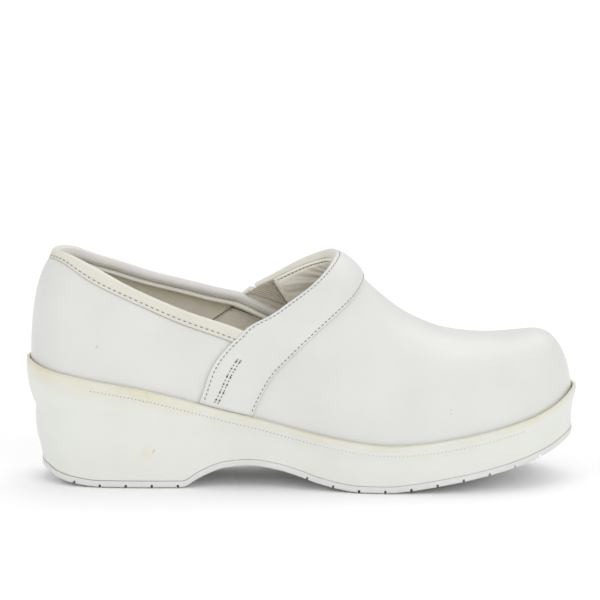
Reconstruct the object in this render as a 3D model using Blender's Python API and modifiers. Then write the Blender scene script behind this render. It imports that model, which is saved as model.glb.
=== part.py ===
"""Slip-on work clog for the right foot: a closed leather upper with a padded collar and an instep band,
on a thick moulded sole unit with a rubber outsole.

Metres, +Z up. The toe points along +X and the inner side of the foot is +Y. The origin is the middle of
the shoe's box, on the floor.
"""
import math

import bmesh
import bpy
import numpy as np
from mathutils import Vector

# Last, in metres
LAST_LENGTH = 0.2712
BALL_WIDTH = 0.0954
HEEL_ROUND = 0.048  # length over which the plan outline closes at the heel
TOE_ROUND = 0.074
HEEL_STEEP = 0.025  # length over which the crest comes down at the heel
HEEL_POWER = 0.38  # lower is a straighter back, over a rounder top
TOE_STEEP = 0.023
INSTEP_HEIGHT = 0.1130  # crest above the floor, at the throat
TOE_HEIGHT = 0.0728  # crest above the floor, over the toes

# Sole unit
SEAT_HEIGHT = 0.052  # cup floor above the ground, at the heel
BALL_HEIGHT = 0.018  # the same, at the ball
TOE_SPRING = 0.020
ARCH_HEIGHT = 0.011
HEEL_BEVEL = 0.007
OUTSOLE_THICKNESS = 0.0036
OUTSOLE_LEDGE = 0.0004
OUTSOLE_CHAMFER = 0.0006
RIM_HEIGHT = 0.0062  # cup wall above its floor
RIM_WALL = 0.0018
HEEL_TAPER = 0.0080  # how far the heel block comes in at its back
HEEL_SIDE_TAPER = 0.0032
WALL_TAPER = 0.0024

# Tread
GROOVE_PITCH = 0.0129
GROOVE_WIDTH = 0.0016
GROOVE_DEPTH = 0.0013
HEEL_GROOVE_START = 0.0227  # from the heel end of the last
HEEL_GROOVES = 5
FRONT_GROOVE_START = 0.1379
FRONT_GROOVES = 10

# Upper and what is sewn to it
UPPER_WALL = 0.0022
BAND_LEATHER = 0.0014
BAND_PUFF = 0.0013
BINDING_LEATHER = 0.0011
BINDING_DROP = 0.0068
COLLAR_PAD = 0.0034
COLLAR_PAD_DROP = 0.0068
COLLAR_CROWN = 0.0026
GORE_THICKNESS = 0.0012
GORE_BEHIND = 0.0030  # how far the elastic reaches behind the slit's middle
GORE_AHEAD = 0.0130  # and in front of it
GORE_TOP = 0.0010  # below the band's rear edge
GORE_DROP = 0.024
SLIT_WIDTH = 0.0030
SLIT_LENGTH = 0.018
CUT_PAST = 0.0040  # how far the slit's cutter goes past the leather
INSOLE_THICKNESS = 0.0040

# Clearances
FIT = 0.0003  # between pieces that touch
CURVED_FIT = 0.0005  # between curved pieces, whose flat facets come closer than their surfaces
SEAT_GAP = 0.0006  # under the upper's lasted edge
COLLAR_END = 0.012  # where the collar stops short of the band, as a share of its length
NUDGE = 1e-4  # small step, as a share, for finding directions

# Plan of the last. Station is a share of its length; the others are shares of half the ball width.
PLAN = {
    "station": (0.00, 0.08, 0.20, 0.30, 0.39, 0.48, 0.58, 0.68, 0.76, 0.85, 0.93, 1.00),
    "axis": (0.00, 0.00, -0.03, -0.05, -0.055, -0.055, -0.05, -0.03, 0.00, 0.04, 0.075, 0.10),
    "half": (0.71, 0.70, 0.70, 0.672, 0.66, 0.735, 0.90, 0.985, 1.00, 0.965, 0.915, 0.89),
    "crest": (0.00, 0.00, 0.03, 0.06, 0.08, 0.10, 0.12, 0.12, 0.10, 0.07, 0.03, 0.00),
    "boxiness": (2.60, 2.60, 2.35, 2.15, 2.10, 2.02, 2.00, 2.05, 2.20, 2.40, 2.50, 2.50),
}

# Crest line, as a share of the way from the toe height to the instep height
CREST = {
    "station": (0.00, 0.04, 0.10, 0.16, 0.22, 0.33, 0.44, 0.51, 0.555, 0.585, 0.615, 0.645, 0.685, 0.725,
                0.76, 0.80, 0.84, 0.90, 0.95, 1.00),
    "height": (1.09, 1.10, 1.19, 1.31, 1.38, 1.36, 1.25, 1.12, 1.00, 0.85, 0.66, 0.475, 0.265, 0.125,
               0.04, -0.01, -0.03, 0.00, 0.03, 0.03),
}

# Cup floor: seat is a share of the heel's extra height, toe a share of the toe spring.
# Rim is a share of the rim height.
CUP = {
    "station": (0.00, 0.03, 0.067, 0.13, 0.204, 0.278, 0.352, 0.426, 0.50, 0.574, 0.63, 0.667, 0.722,
                0.797, 0.87, 0.925, 0.963, 1.00),
    "seat": (1.00, 0.99, 0.97, 0.897, 0.78, 0.632, 0.47, 0.325, 0.18, 0.07, 0.015, 0.00, 0.00,
             0.00, 0.00, 0.00, 0.00, 0.00),
    "toe": (0.00, 0.00, 0.00, 0.00, 0.00, 0.00, 0.00, 0.00, 0.00, 0.00, 0.00, 0.00, 0.05,
            0.195, 0.39, 0.58, 0.77, 1.00),
    "rim": (1.50, 1.15, 0.93, 0.85, 0.93, 0.97, 0.97, 1.00, 1.02, 1.03, 1.03, 1.03, 1.05,
            1.05, 1.03, 1.03, 1.08, 1.32),
}

# Walking surface: bevel, arch and spring are shares of the heel bevel, arch height and toe spring.
GROUND = {
    "station": (0.00, 0.025, 0.052, 0.080, 0.130, 0.281, 0.310, 0.333, 0.356, 0.407, 0.459, 0.485, 0.533,
                0.578, 0.606, 0.655, 0.700, 0.760, 0.823, 0.900, 0.955, 0.99, 1.00),
    "bevel": (1.00, 0.88, 0.45, 0.20, 0.00, 0.00, 0.00, 0.00, 0.00, 0.00, 0.00, 0.00, 0.00,
              0.00, 0.00, 0.00, 0.00, 0.00, 0.00, 0.00, 0.00, 0.00, 0.00),
    "arch": (0.00, 0.00, 0.00, 0.00, 0.00, 0.00, 0.39, 0.67, 0.87, 1.00, 0.83, 0.66, 0.29,
             0.07, 0.00, 0.00, 0.00, 0.00, 0.00, 0.00, 0.00, 0.00, 0.00),
    "spring": (0.00, 0.00, 0.00, 0.00, 0.00, 0.00, 0.00, 0.00, 0.00, 0.00, 0.00, 0.00, 0.00,
               0.00, 0.00, 0.00, 0.06, 0.19, 0.34, 0.57, 0.81, 1.02, 1.08),
}

# Side of the sole unit, from the outsole (0) to the rim's top (1): how far it comes in, as shares of the tapers
SIDEWALL = {
    "height": (0.00, 0.10, 0.20, 0.31, 0.43, 0.52, 0.60, 0.68, 0.80, 0.945, 1.00),
    "back": (1.00, 0.87, 0.72, 0.57, 0.54, 0.56, 0.37, 0.20, 0.07, 0.00, 0.10),
    "side": (1.00, 1.00, 0.98, 0.95, 0.88, 0.80, 0.68, 0.50, 0.22, 0.00, 0.25),
}

# Lines drawn on the last, from the outer side over the crest to the inner side.
# Station is a share of the length, height a share of the way from the cup floor to the crest there.
BAND_EDGE = {  # the band's rear edge, which is also the throat
    "station": (0.309, 0.324, 0.334, 0.349, 0.366, 0.381, 0.391, 0.398, 0.437, 0.476, 0.514, 0.543, 0.556,
                0.561, 0.548, 0.532, 0.510, 0.478, 0.441, 0.408, 0.386, 0.364, 0.345, 0.325, 0.309),
    "height": (0.000, 0.144, 0.238, 0.325, 0.393, 0.443, 0.475, 0.502, 0.590, 0.690, 0.795, 0.898, 0.962,
               1.000, 0.974, 0.936, 0.889, 0.816, 0.729, 0.656, 0.592, 0.502, 0.362, 0.176, 0.000),
    "side": (-1,) * 14 + (1,) * 11,
}
BAND_SEAM = {  # the band's front seam, on the vamp
    "station": (0.403, 0.421, 0.433, 0.450, 0.471, 0.499, 0.528, 0.557, 0.586, 0.604, 0.613,
                0.606, 0.590, 0.562, 0.530, 0.494, 0.458, 0.430, 0.408),
    "height": (0.000, 0.145, 0.219, 0.308, 0.387, 0.487, 0.587, 0.693, 0.821, 0.928, 1.000,
               0.955, 0.880, 0.770, 0.660, 0.530, 0.370, 0.190, 0.000),
    "side": (-1,) * 11 + (1,) * 8,
}
CORNER_ROWS = (6, 20)  # rows of BAND_EDGE where the collar goes under the band
TOPLINE = {  # the quarter's top edge between those corners, round the heel
    "station": (0.352, 0.301, 0.223, 0.164, 0.112, 0.079, 0.057, 0.0445,
                0.057, 0.079, 0.111, 0.150, 0.217, 0.291, 0.350),
    "height": (0.496, 0.519, 0.589, 0.678, 0.797, 0.893, 0.958, 1.000,
               0.958, 0.896, 0.811, 0.735, 0.645, 0.611, 0.597),
    "side": (-1,) * 8 + (1,) * 7,
}
SLIT_PLACE = 0.785  # along the band's rear edge, as a share from its outer end
HEEL_SIDES = (0.30, 0.45)  # stations over which the sole's side goes over to the heel block's own slope

# Padding of the band and lip of the cup, as shares
PUFF_POWER = 0.7  # lower is a flatter cushion with quicker edges
LIP_SHARE = 0.3  # of the rim's wall

# Mesh density
QUARTER_RIBS = 38
VAMP_RIBS = 42
RIB_LEVELS = (0.0, 0.025, 0.09, 0.17, 0.26, 0.35, 0.44, 0.53, 0.61, 0.69, 0.76, 0.82, 0.87, 0.91, 0.955, 1.0)
BAND_STEPS = 50
SOLE_STATIONS = 44

COLOURS = {  # base colour, roughness
    "white_leather": ((0.80, 0.80, 0.79), 0.45),
    "binding_leather": ((0.80, 0.78, 0.72), 0.45),
    "moulded_sole": ((0.78, 0.79, 0.74), 0.5),
    "outsole_rubber": ((0.72, 0.72, 0.72), 0.6),
    "insole_fabric": ((0.60, 0.57, 0.50), 0.8),
    "gore_elastic": ((0.32, 0.29, 0.24), 0.8),
}


def spline(xs, ys):
    """Natural cubic through the points, as a function of x."""
    xs, ys = np.asarray(xs, float), np.asarray(ys, float)
    count, gap = len(xs), np.diff(xs)
    system, right = np.eye(count), np.zeros((count,) + ys.shape[1:])
    for i in range(1, count - 1):
        system[i, i - 1:i + 2] = gap[i - 1], 2 * (gap[i - 1] + gap[i]), gap[i]
        right[i] = 6 * ((ys[i + 1] - ys[i]) / gap[i] - (ys[i] - ys[i - 1]) / gap[i - 1])
    bend = np.linalg.solve(system, right)

    def read(x):
        x = np.asarray(x, float)
        i = np.clip(np.searchsorted(xs, x) - 1, 0, count - 2)
        h, after, before = gap[i], xs[i + 1] - x, x - xs[i]
        if ys.ndim > 1:
            h, after, before = h[..., None], after[..., None], before[..., None]
        return ((bend[i] * after**3 + bend[i + 1] * before**3) / (6 * h)
                + (ys[i] / h - bend[i] * h / 6) * after + (ys[i + 1] / h - bend[i + 1] * h / 6) * before)

    return read


def steady(xs, ys):
    """Cubic through the points that never passes them, so that level stretches stay level."""
    xs, ys = np.asarray(xs, float), np.asarray(ys, float)
    gap = np.diff(xs)
    slope = np.diff(ys) / gap
    tangent = np.zeros(len(xs))
    for i in range(1, len(xs) - 1):
        if slope[i - 1] * slope[i] > 0:
            a, b = 2 * gap[i] + gap[i - 1], gap[i] + 2 * gap[i - 1]
            tangent[i] = (a + b) / (a / slope[i - 1] + b / slope[i])
    tangent[0], tangent[-1] = slope[0], slope[-1]

    def read(x):
        x = np.clip(np.asarray(x, float), xs[0], xs[-1])
        i = np.clip(np.searchsorted(xs, x) - 1, 0, len(xs) - 2)
        t = (x - xs[i]) / gap[i]
        return (ys[i] * (1 + 2 * t) * (1 - t)**2 + gap[i] * tangent[i] * t * (1 - t)**2
                + ys[i + 1] * t**2 * (3 - 2 * t) + gap[i] * tangent[i + 1] * t**2 * (t - 1))

    return read


plan_of = {name: spline(PLAN["station"], PLAN[name]) for name in ("axis", "half", "crest", "boxiness")}
crest_of = spline(CREST["station"], CREST["height"])
cup_of = {name: steady(CUP["station"], CUP[name]) for name in ("seat", "toe", "rim")}
ground_of = {name: steady(GROUND["station"], GROUND[name]) for name in ("bevel", "arch", "spring")}
wall_of = {name: steady(SIDEWALL["height"], SIDEWALL[name]) for name in ("back", "side")}


def closing(distance, reach, power=0.5):
    """0 at an end of the last, 1 from reach on, with a round end between."""
    share = np.clip(np.asarray(distance, float) / reach, 0, 1)
    return (1 - (1 - share)**3)**power


def cup_floor(station):
    return (BALL_HEIGHT + (SEAT_HEIGHT - BALL_HEIGHT) * cup_of["seat"](station)
            + TOE_SPRING * cup_of["toe"](station))


def rim_top(station):
    return cup_floor(station) + RIM_HEIGHT * cup_of["rim"](station)


def ground(station):
    return (HEEL_BEVEL * ground_of["bevel"](station) + ARCH_HEIGHT * ground_of["arch"](station)
            + TOE_SPRING * ground_of["spring"](station))


def half_width(station):
    x = station * LAST_LENGTH
    return (BALL_WIDTH / 2 * plan_of["half"](station) * closing(x, HEEL_ROUND)
            * closing(LAST_LENGTH - x, TOE_ROUND))


def rise(station):
    """Height of the crest above the upper's lower edge."""
    x = station * LAST_LENGTH
    crest = TOE_HEIGHT + (INSTEP_HEIGHT - TOE_HEIGHT) * crest_of(station)
    return ((crest - cup_floor(station) - SEAT_GAP) * closing(x, HEEL_STEEP, HEEL_POWER)
            * closing(LAST_LENGTH - x, TOE_STEEP))


def last_surface(dome):
    """Point of the upper's outer surface for a point of a unit dome: its +X is the toe, +Y the inner side."""
    dome = np.asarray(dome, float)
    station = np.clip((1 + dome[..., 0]) / 2, 0, 1)
    reach = np.maximum(np.hypot(dome[..., 1], dome[..., 2]), 1e-12)
    across, up = dome[..., 1] / reach, dome[..., 2] / reach
    power = 2 / plan_of["boxiness"](station)
    half, lean = half_width(station), plan_of["crest"](station)
    wide = half * (1 - np.sign(across) * lean)
    y = (BALL_WIDTH / 2 * plan_of["axis"](station) + lean * half
         + np.sign(across) * wide * np.abs(across)**power)
    z = cup_floor(station) + SEAT_GAP + rise(station) * np.sign(up) * np.abs(up)**power
    return np.stack([station * LAST_LENGTH, y, z], axis=-1)


def unit(v):
    return v / np.linalg.norm(v, axis=-1, keepdims=True)


def dome_points(line):
    """Dome points of a table of stations and heights on the last."""
    station, height, side = (np.asarray(line[name], float) for name in ("station", "height", "side"))
    x = 2 * station - 1
    up = height**(plan_of["boxiness"](station) / 2)
    across = side * np.sqrt(np.maximum(0, 1 - up**2))
    reach = np.sqrt(1 - x**2)
    return np.stack([x, across * reach, up * reach], axis=-1)


def dome_curve(points):
    """Smooth curve over the dome through the points, as a function of a share of its length."""
    steps = np.linalg.norm(np.diff(points, axis=0), axis=1)
    along = np.concatenate([[0], np.cumsum(steps)]) / steps.sum()
    through = spline(along, points)
    return along, lambda share: unit(through(share))


def between(start, end, share):
    """Dome points part of the way from start to end."""
    share = np.asarray(share, float)[..., None]
    return unit((1 - share) * start + share * end)


def edge_of_dome(angle):
    """Dome point on the feather line: angle 0 is the heel, a half turn the toe, the outer side first."""
    return np.stack([-np.cos(angle), -np.sin(angle), np.zeros_like(angle)], axis=-1)


INSIDE = np.array([LAST_LENGTH * 0.5, 0.0, float(cup_floor(0.5))])  # a point inside the shoe


def surface_frames(foot, head, share, closed):
    """Points and outward normals of the last where each rib, from foot to head, has gone its share."""
    at = last_surface(between(foot, head, share))
    along_rib = (last_surface(between(foot, head, share + 10 * NUDGE))
                 - last_surface(between(foot, head, share - 10 * NUDGE)))
    if closed:
        along_edge = np.roll(at, -1, axis=0) - np.roll(at, 1, axis=0)
    else:
        along_edge = np.gradient(at, axis=0)
    normal = unit(np.cross(along_rib, along_edge))
    outward = np.sum(normal * (at - INSIDE), axis=-1, keepdims=True)
    return at, normal * np.sign(outward)


def rib_lengths(foot, head):
    shares = np.linspace(0, 1, 25)
    points = np.stack([last_surface(between(foot, head, np.full(len(foot), s))) for s in shares])
    return np.linalg.norm(np.diff(points, axis=0), axis=2).sum(axis=0)


# Lines of the upper, worked out once
edge_marks, band_edge = dome_curve(dome_points(BAND_EDGE))
band_seam = dome_curve(dome_points(BAND_SEAM))[1]
corners = [edge_marks[row] for row in CORNER_ROWS]
corner_points = band_edge(np.array(corners))
topline_points = np.concatenate([corner_points[:1], dome_points(TOPLINE), corner_points[1:]])
topline = dome_curve(topline_points)[1]
band_foot_angle = math.acos(1 - 2 * BAND_EDGE["station"][0])


def ribs():
    """Feet and heads of the ribs: round the quarter from the outer corner, then across the vamp."""
    quarter, vamp = np.arange(QUARTER_RIBS) / QUARTER_RIBS, np.arange(VAMP_RIBS) / VAMP_RIBS
    quarter_feet = edge_of_dome(band_foot_angle * (1 - 2 * quarter))
    vamp_feet = edge_of_dome(-band_foot_angle - (2 * math.pi - 2 * band_foot_angle) * vamp)
    throat = corners[1] + (corners[0] - corners[1]) * vamp
    return (np.concatenate([quarter_feet, vamp_feet]),
            np.concatenate([topline(quarter), band_edge(throat)]))


def feather(angle, out=0.0):
    """Plan points and outward directions of the feather line, moved out by a distance."""
    def at(a):
        station = (1 - np.cos(a)) / 2
        side = np.where(np.sin(a) >= 0, -1.0, 1.0)
        y = BALL_WIDTH / 2 * plan_of["axis"](station) + side * half_width(station)
        return np.stack([station * LAST_LENGTH, y], axis=-1)

    tangent = unit(at(angle + NUDGE) - at(angle - NUDGE))
    outward = np.stack([tangent[..., 1], -tangent[..., 0]], axis=-1)
    return at(angle) + np.asarray(out)[..., None] * outward, outward


SOLE_MARGIN = RIM_WALL + CURVED_FIT
_rim_plan = feather(np.linspace(0, 2 * math.pi, 721), np.full(721, SOLE_MARGIN))[0]
ORIGIN = np.array([(_rim_plan[:, 0].max() + _rim_plan[:, 0].min()) / 2,
                   (_rim_plan[:, 1].max() + _rim_plan[:, 1].min()) / 2, 0.0])


def add_object(name, points, faces, material=None, collection="clog"):
    mesh = bpy.data.meshes.new(name)
    mesh.from_pydata((np.asarray(points) - ORIGIN).tolist(), [], faces)
    body = bmesh.new()
    body.from_mesh(mesh)
    bmesh.ops.remove_doubles(body, verts=body.verts, dist=1e-6)
    body.normal_update()
    if any(edge.is_boundary for edge in body.edges):
        inside = Vector(INSIDE - ORIGIN)
        outward = sum(face.normal.dot(face.calc_center_median() - inside) for face in body.faces)
        if outward < 0:
            bmesh.ops.reverse_faces(body, faces=body.faces)
    else:
        bmesh.ops.recalc_face_normals(body, faces=body.faces)
    body.to_mesh(mesh)
    body.free()
    thing = bpy.data.objects.new(name, mesh)
    bpy.data.collections[collection].objects.link(thing)
    if material:
        mesh.materials.append(MATERIALS[material])
        mesh.shade_smooth()
        mesh.set_sharp_from_angle(angle=math.radians(35))
    return thing


def cut_away(thing, cutter):
    """Cut an object, or all the objects of a collection, out of a thing."""
    cut = thing.modifiers.new(cutter.name, "BOOLEAN")
    cut.operation, cut.solver = "DIFFERENCE", "EXACT"
    if isinstance(cutter, bpy.types.Collection):
        cut.operand_type, cut.collection = "COLLECTION", cutter
    else:
        cut.object = cutter


def hide_cutter(cutter):
    cutter.hide_render = True
    cutter.display_type = "WIRE"
    return cutter


def grid_faces(rows, columns, close_rows=False):
    """Faces of a grid of points stored row by row."""
    faces = []
    for r in range(rows if close_rows else rows - 1):
        for c in range(columns - 1):
            a, b = r * columns + c, ((r + 1) % rows) * columns + c
            faces.append((a, b, b + 1, a + 1))
    return faces


def stack_faces(rings, count):
    """Faces that join closed rings of count points each, one after the other."""
    faces = []
    for r in range(rings - 1):
        for i in range(count):
            j = (i + 1) % count
            faces.append((r * count + i, r * count + j, (r + 1) * count + j, (r + 1) * count + i))
    return faces


def ladder_faces(start, count):
    """Faces across a ring whose first and middle points are the heel and the toe."""
    faces = []
    for i in range(count // 2):
        quad = (start + i, start + i + 1, start + (count - i - 1) % count, start + (count - i) % count)
        faces.append(tuple(dict.fromkeys(quad)))
    return faces


def both_sides(angles):
    """The angles from heel to toe, then back to the heel on the inner side."""
    return np.concatenate([angles, 2 * math.pi - angles[-2:0:-1]])


def thicken(thing, thickness, offset, group=None, least=1.0):
    shell = thing.modifiers.new("wall", "SOLIDIFY")
    shell.thickness = thickness
    shell.offset = offset
    shell.use_even_offset = True
    shell.use_quality_normals = True
    if group:
        shell.vertex_group = group
        shell.thickness_vertex_group = least


def build_upper():
    """One hollow wall: quarter, vamp and the leather under the band, open at the collar and underneath."""
    foot, head = ribs()
    columns = [surface_frames(foot, head, np.full(len(foot), level), True)[0] for level in RIB_LEVELS]
    points = np.stack(columns, axis=1)
    rows, levels = points.shape[:2]
    upper = add_object("upper", points.reshape(-1, 3), grid_faces(rows, levels, True), "white_leather")
    thicken(upper, UPPER_WALL, -1)
    return upper


def above_rim(line):
    """Steps along a line over the instep, from where it leaves the sole's rim to where it meets it again."""
    share = np.linspace(0, 1, 801)
    at = last_surface(line(share))
    clear = share[at[:, 2] > rim_top(at[:, 0] / LAST_LENGTH) + 2 * CURVED_FIT]
    return np.linspace(clear[0], clear[-1], BAND_STEPS + 1)


def build_band():
    """The leather band over the instep, padded between its edges."""
    across = np.array([0.0, 0.08, 0.25, 0.5, 0.75, 0.92, 1.0])
    along = np.linspace(0, 1, BAND_STEPS + 1)
    foot, head = band_seam(above_rim(band_seam)), band_edge(above_rim(band_edge))
    points, pad = [], []
    for share in across:
        at, normal = surface_frames(foot, head, np.full(len(along), share), False)
        points.append(at + normal * CURVED_FIT)
        pad.append(np.full(len(along), math.sin(math.pi * share)**PUFF_POWER))
    points, pad = np.stack(points, axis=1), np.stack(pad, axis=1)
    rows, columns = points.shape[:2]
    band = add_object("instep_band", points.reshape(-1, 3), grid_faces(rows, columns), "white_leather")
    group = band.vertex_groups.new(name="padding")
    least = BAND_LEATHER / (BAND_LEATHER + BAND_PUFF)
    for i, share in enumerate(pad.reshape(-1)):
        group.add([i], float(share), "REPLACE")
    thicken(band, BAND_LEATHER + BAND_PUFF, 1, "padding", least)
    return band


def binding_profile():
    """The binding and its padding across the collar's edge: how far down the wall, how far out from it."""
    outer, inner = FIT + BINDING_LEATHER, -(UPPER_WALL + FIT + COLLAR_PAD)
    middle, half = (outer + inner) / 2, (outer - inner) / 2
    profile = [(BINDING_DROP, FIT), (BINDING_DROP, outer), (BINDING_DROP / 2, outer), (0.0, outer)]
    for degrees in (35, 70, 110, 145):
        a = math.radians(degrees)
        profile.append((-COLLAR_CROWN * math.sin(a), middle + half * math.cos(a)))
    profile += [(0.0, inner), (COLLAR_PAD_DROP * 0.6, inner),
                (COLLAR_PAD_DROP, -(UPPER_WALL + FIT + BINDING_LEATHER)), (COLLAR_PAD_DROP, -(UPPER_WALL + FIT)),
                (-FIT, -(UPPER_WALL + FIT)), (-FIT, FIT)]
    return profile


def sweep(profile, foot, head):
    """Rings of the profile along an edge. It is laid on the last's surface below the edge."""
    length = rib_lengths(foot, head)
    edge, edge_normal = surface_frames(foot, head, np.ones(len(foot)), False)
    near = surface_frames(foot, head, np.full(len(foot), 1 - 10 * NUDGE), False)[0]
    upward = unit(edge - near)
    rings = []
    for down, out in profile:
        if down <= 0:
            rings.append(edge - upward * down + edge_normal * out)
        else:
            at, normal = surface_frames(foot, head, 1 - down / length, False)
            rings.append(at + normal * out)
    return np.stack(rings, axis=1)


def add_swept(name, rings, material):
    count, sides = rings.shape[:2]
    faces = stack_faces(count, sides)
    faces.append(tuple(range(sides)))
    faces.append(tuple(range((count - 1) * sides, count * sides)))
    return add_object(name, rings.reshape(-1, 3), faces, material)


def build_collar():
    """The folded binding with its padding, round the quarter from corner to corner."""
    shares = np.linspace(COLLAR_END, 1 - COLLAR_END, QUARTER_RIBS + 1)
    foot = edge_of_dome(band_foot_angle * (1 - 2 * shares))
    return add_swept("collar_binding", sweep(binding_profile(), foot, topline(shares)), "binding_leather")


def sole_angles():
    return both_sides(np.linspace(0, math.pi, SOLE_STATIONS + 1))


def side_inset(angle, height):
    """How far the sole's side comes in from the rim's outline at a share of its height."""
    station = (1 - np.cos(angle)) / 2
    outward = feather(angle, 0 * angle)[1]
    back = np.clip(-outward[:, 0], 0, 1)**2
    heel = np.clip((HEEL_SIDES[1] - station) / (HEEL_SIDES[1] - HEEL_SIDES[0]), 0, 1)
    side = wall_of["side"](height) * (HEEL_SIDE_TAPER * heel + WALL_TAPER * (1 - heel))
    return back * wall_of["back"](height) * HEEL_TAPER + (1 - back) * side


def sole_ring(angle, out, height_of):
    """Ring of points at a distance out from the feather line, at heights given for each station."""
    plan = feather(angle, out + 0 * angle)[0]
    return np.column_stack([plan, height_of(plan[:, 0] / LAST_LENGTH)])


def midsole_base(station):
    return ground(station) + OUTSOLE_THICKNESS + FIT


def build_midsole():
    """The moulded unit: heel block, arch and the cup that holds the upper's lower edge."""
    angle = sole_angles()
    rings = []
    for height in SIDEWALL["height"]:
        out = SOLE_MARGIN - side_inset(angle, height)
        rings.append(sole_ring(angle, out, lambda s: midsole_base(s) * (1 - height) + rim_top(s) * height))
    lip = RIM_WALL * LIP_SHARE
    rings.append(sole_ring(angle, CURVED_FIT + lip, rim_top))
    rings.append(sole_ring(angle, CURVED_FIT, lambda s: rim_top(s) - lip))
    rings.append(sole_ring(angle, CURVED_FIT, cup_floor))
    count = len(angle)
    faces = stack_faces(len(rings), count) + ladder_faces(0, count)
    faces += ladder_faces((len(rings) - 1) * count, count)
    return add_object("midsole", np.concatenate(rings), faces, "moulded_sole")


def add_groove_bar(x):
    """A bar across the tread that lies along the walking surface at x."""
    station = x / LAST_LENGTH
    slope = float(ground(station + NUDGE) - ground(station - NUDGE)) / (2 * NUDGE * LAST_LENGTH)
    bpy.ops.mesh.primitive_cube_add(
        size=1, location=(x - ORIGIN[0], -ORIGIN[1], float(ground(station))),
        rotation=(0, -math.atan(slope), 0), scale=(GROOVE_WIDTH, 2 * BALL_WIDTH, 2 * GROOVE_DEPTH))
    bar = hide_cutter(bpy.context.object)
    bar.name = "groove_bar"
    bar.users_collection[0].objects.unlink(bar)
    bpy.data.collections["groove_bars"].objects.link(bar)


def groove_bars():
    """The bars that cut the tread, under the heel and under the forefoot."""
    for count, start in ((HEEL_GROOVES, HEEL_GROOVE_START), (FRONT_GROOVES, FRONT_GROOVE_START)):
        for i in range(count):
            add_groove_bar(start + i * GROOVE_PITCH)
    return bpy.data.collections["groove_bars"]


def build_outsole():
    """The rubber outsole under the unit, following heel, arch and forefoot, with grooves across."""
    angle = sole_angles()
    out = SOLE_MARGIN + OUTSOLE_LEDGE - side_inset(angle, 0.0)
    rings = [sole_ring(angle, out - OUTSOLE_CHAMFER, ground),
             sole_ring(angle, out, lambda s: ground(s) + OUTSOLE_CHAMFER),
             sole_ring(angle, out, lambda s: ground(s) + OUTSOLE_THICKNESS)]
    count = len(angle)
    faces = stack_faces(3, count) + ladder_faces(0, count) + ladder_faces(2 * count, count)
    outsole = add_object("outsole", np.concatenate(rings), faces, "outsole_rubber")
    cut_away(outsole, groove_bars())
    return outsole


def build_insole():
    """The footbed, lying in the cup inside the upper."""
    angle = sole_angles()
    out = -(UPPER_WALL + 2 * CURVED_FIT)
    rings = [sole_ring(angle, out, lambda s: cup_floor(s) + FIT),
             sole_ring(angle, out, lambda s: cup_floor(s) + FIT + INSOLE_THICKNESS)]
    count = len(angle)
    faces = stack_faces(2, count) + ladder_faces(0, count) + ladder_faces(count, count)
    return add_object("insole", np.concatenate(rings), faces, "insole_fabric")


def strip_over_slit(width, down, out):
    """Points laid on the last about the slit: columns across it, rows from the band's edge down."""
    edge = last_surface(band_edge(np.array([SLIT_PLACE - NUDGE, SLIT_PLACE + NUDGE])))
    reach = 2 * NUDGE / float(np.linalg.norm(edge[1] - edge[0]))
    shares = SLIT_PLACE + np.asarray(width, float) * reach
    foot, head = band_seam(shares), band_edge(shares)
    length = rib_lengths(foot, head)
    rows = []
    for drop in down:
        at, normal = surface_frames(foot, head, 1 - drop / length, False)
        rows.append(at + normal * out)
    return np.stack(rows)


def slit_cutter():
    """Bar that cuts the slit through the band and the upper."""
    down = np.linspace(-CUT_PAST, SLIT_LENGTH, 7)
    half = SLIT_WIDTH / 2
    low = strip_over_slit((-half, 0, half), down, -UPPER_WALL * 2)
    high = strip_over_slit((-half, 0, half), down, BAND_LEATHER + BAND_PUFF + UPPER_WALL)
    rings = np.concatenate([low, high[:, ::-1]], axis=1)
    count, sides = rings.shape[:2]
    faces = stack_faces(count, sides) + [tuple(range(sides)), tuple(range((count - 1) * sides, count * sides))]
    return hide_cutter(add_object("slit_cutter", rings.reshape(-1, 3), faces, collection="cutters"))


def build_gore():
    """The elastic behind the slit, inside the upper."""
    width, down = np.linspace(-GORE_AHEAD, GORE_BEHIND, 9), np.linspace(GORE_TOP, GORE_DROP, 9)
    points = strip_over_slit(width, down, -(UPPER_WALL + CURVED_FIT))
    gore = add_object("gore", points.reshape(-1, 3), grid_faces(9, 9), "gore_elastic")
    thicken(gore, GORE_THICKNESS, -1)
    return gore


def main():
    upper, band = build_upper(), build_band()
    slit = slit_cutter()
    for leather in (upper, band):
        cut_away(leather, slit)
    build_collar()
    build_gore()
    build_midsole()
    build_outsole()
    build_insole()


def clear_scene():
    for thing in list(bpy.data.objects):
        bpy.data.objects.remove(thing)


clear_scene()
for collection_name in ("clog", "cutters", "groove_bars"):
    bpy.context.scene.collection.children.link(bpy.data.collections.new(collection_name))
MATERIALS = {}
for colour_name, (colour, roughness) in COLOURS.items():
    MATERIALS[colour_name] = bpy.data.materials.new(colour_name)
    MATERIALS[colour_name].use_nodes = True
    shader = MATERIALS[colour_name].node_tree.nodes["Principled BSDF"]
    shader.inputs["Base Color"].default_value = (*colour, 1.0)
    shader.inputs["Roughness"].default_value = roughness
main()
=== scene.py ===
import math

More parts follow.
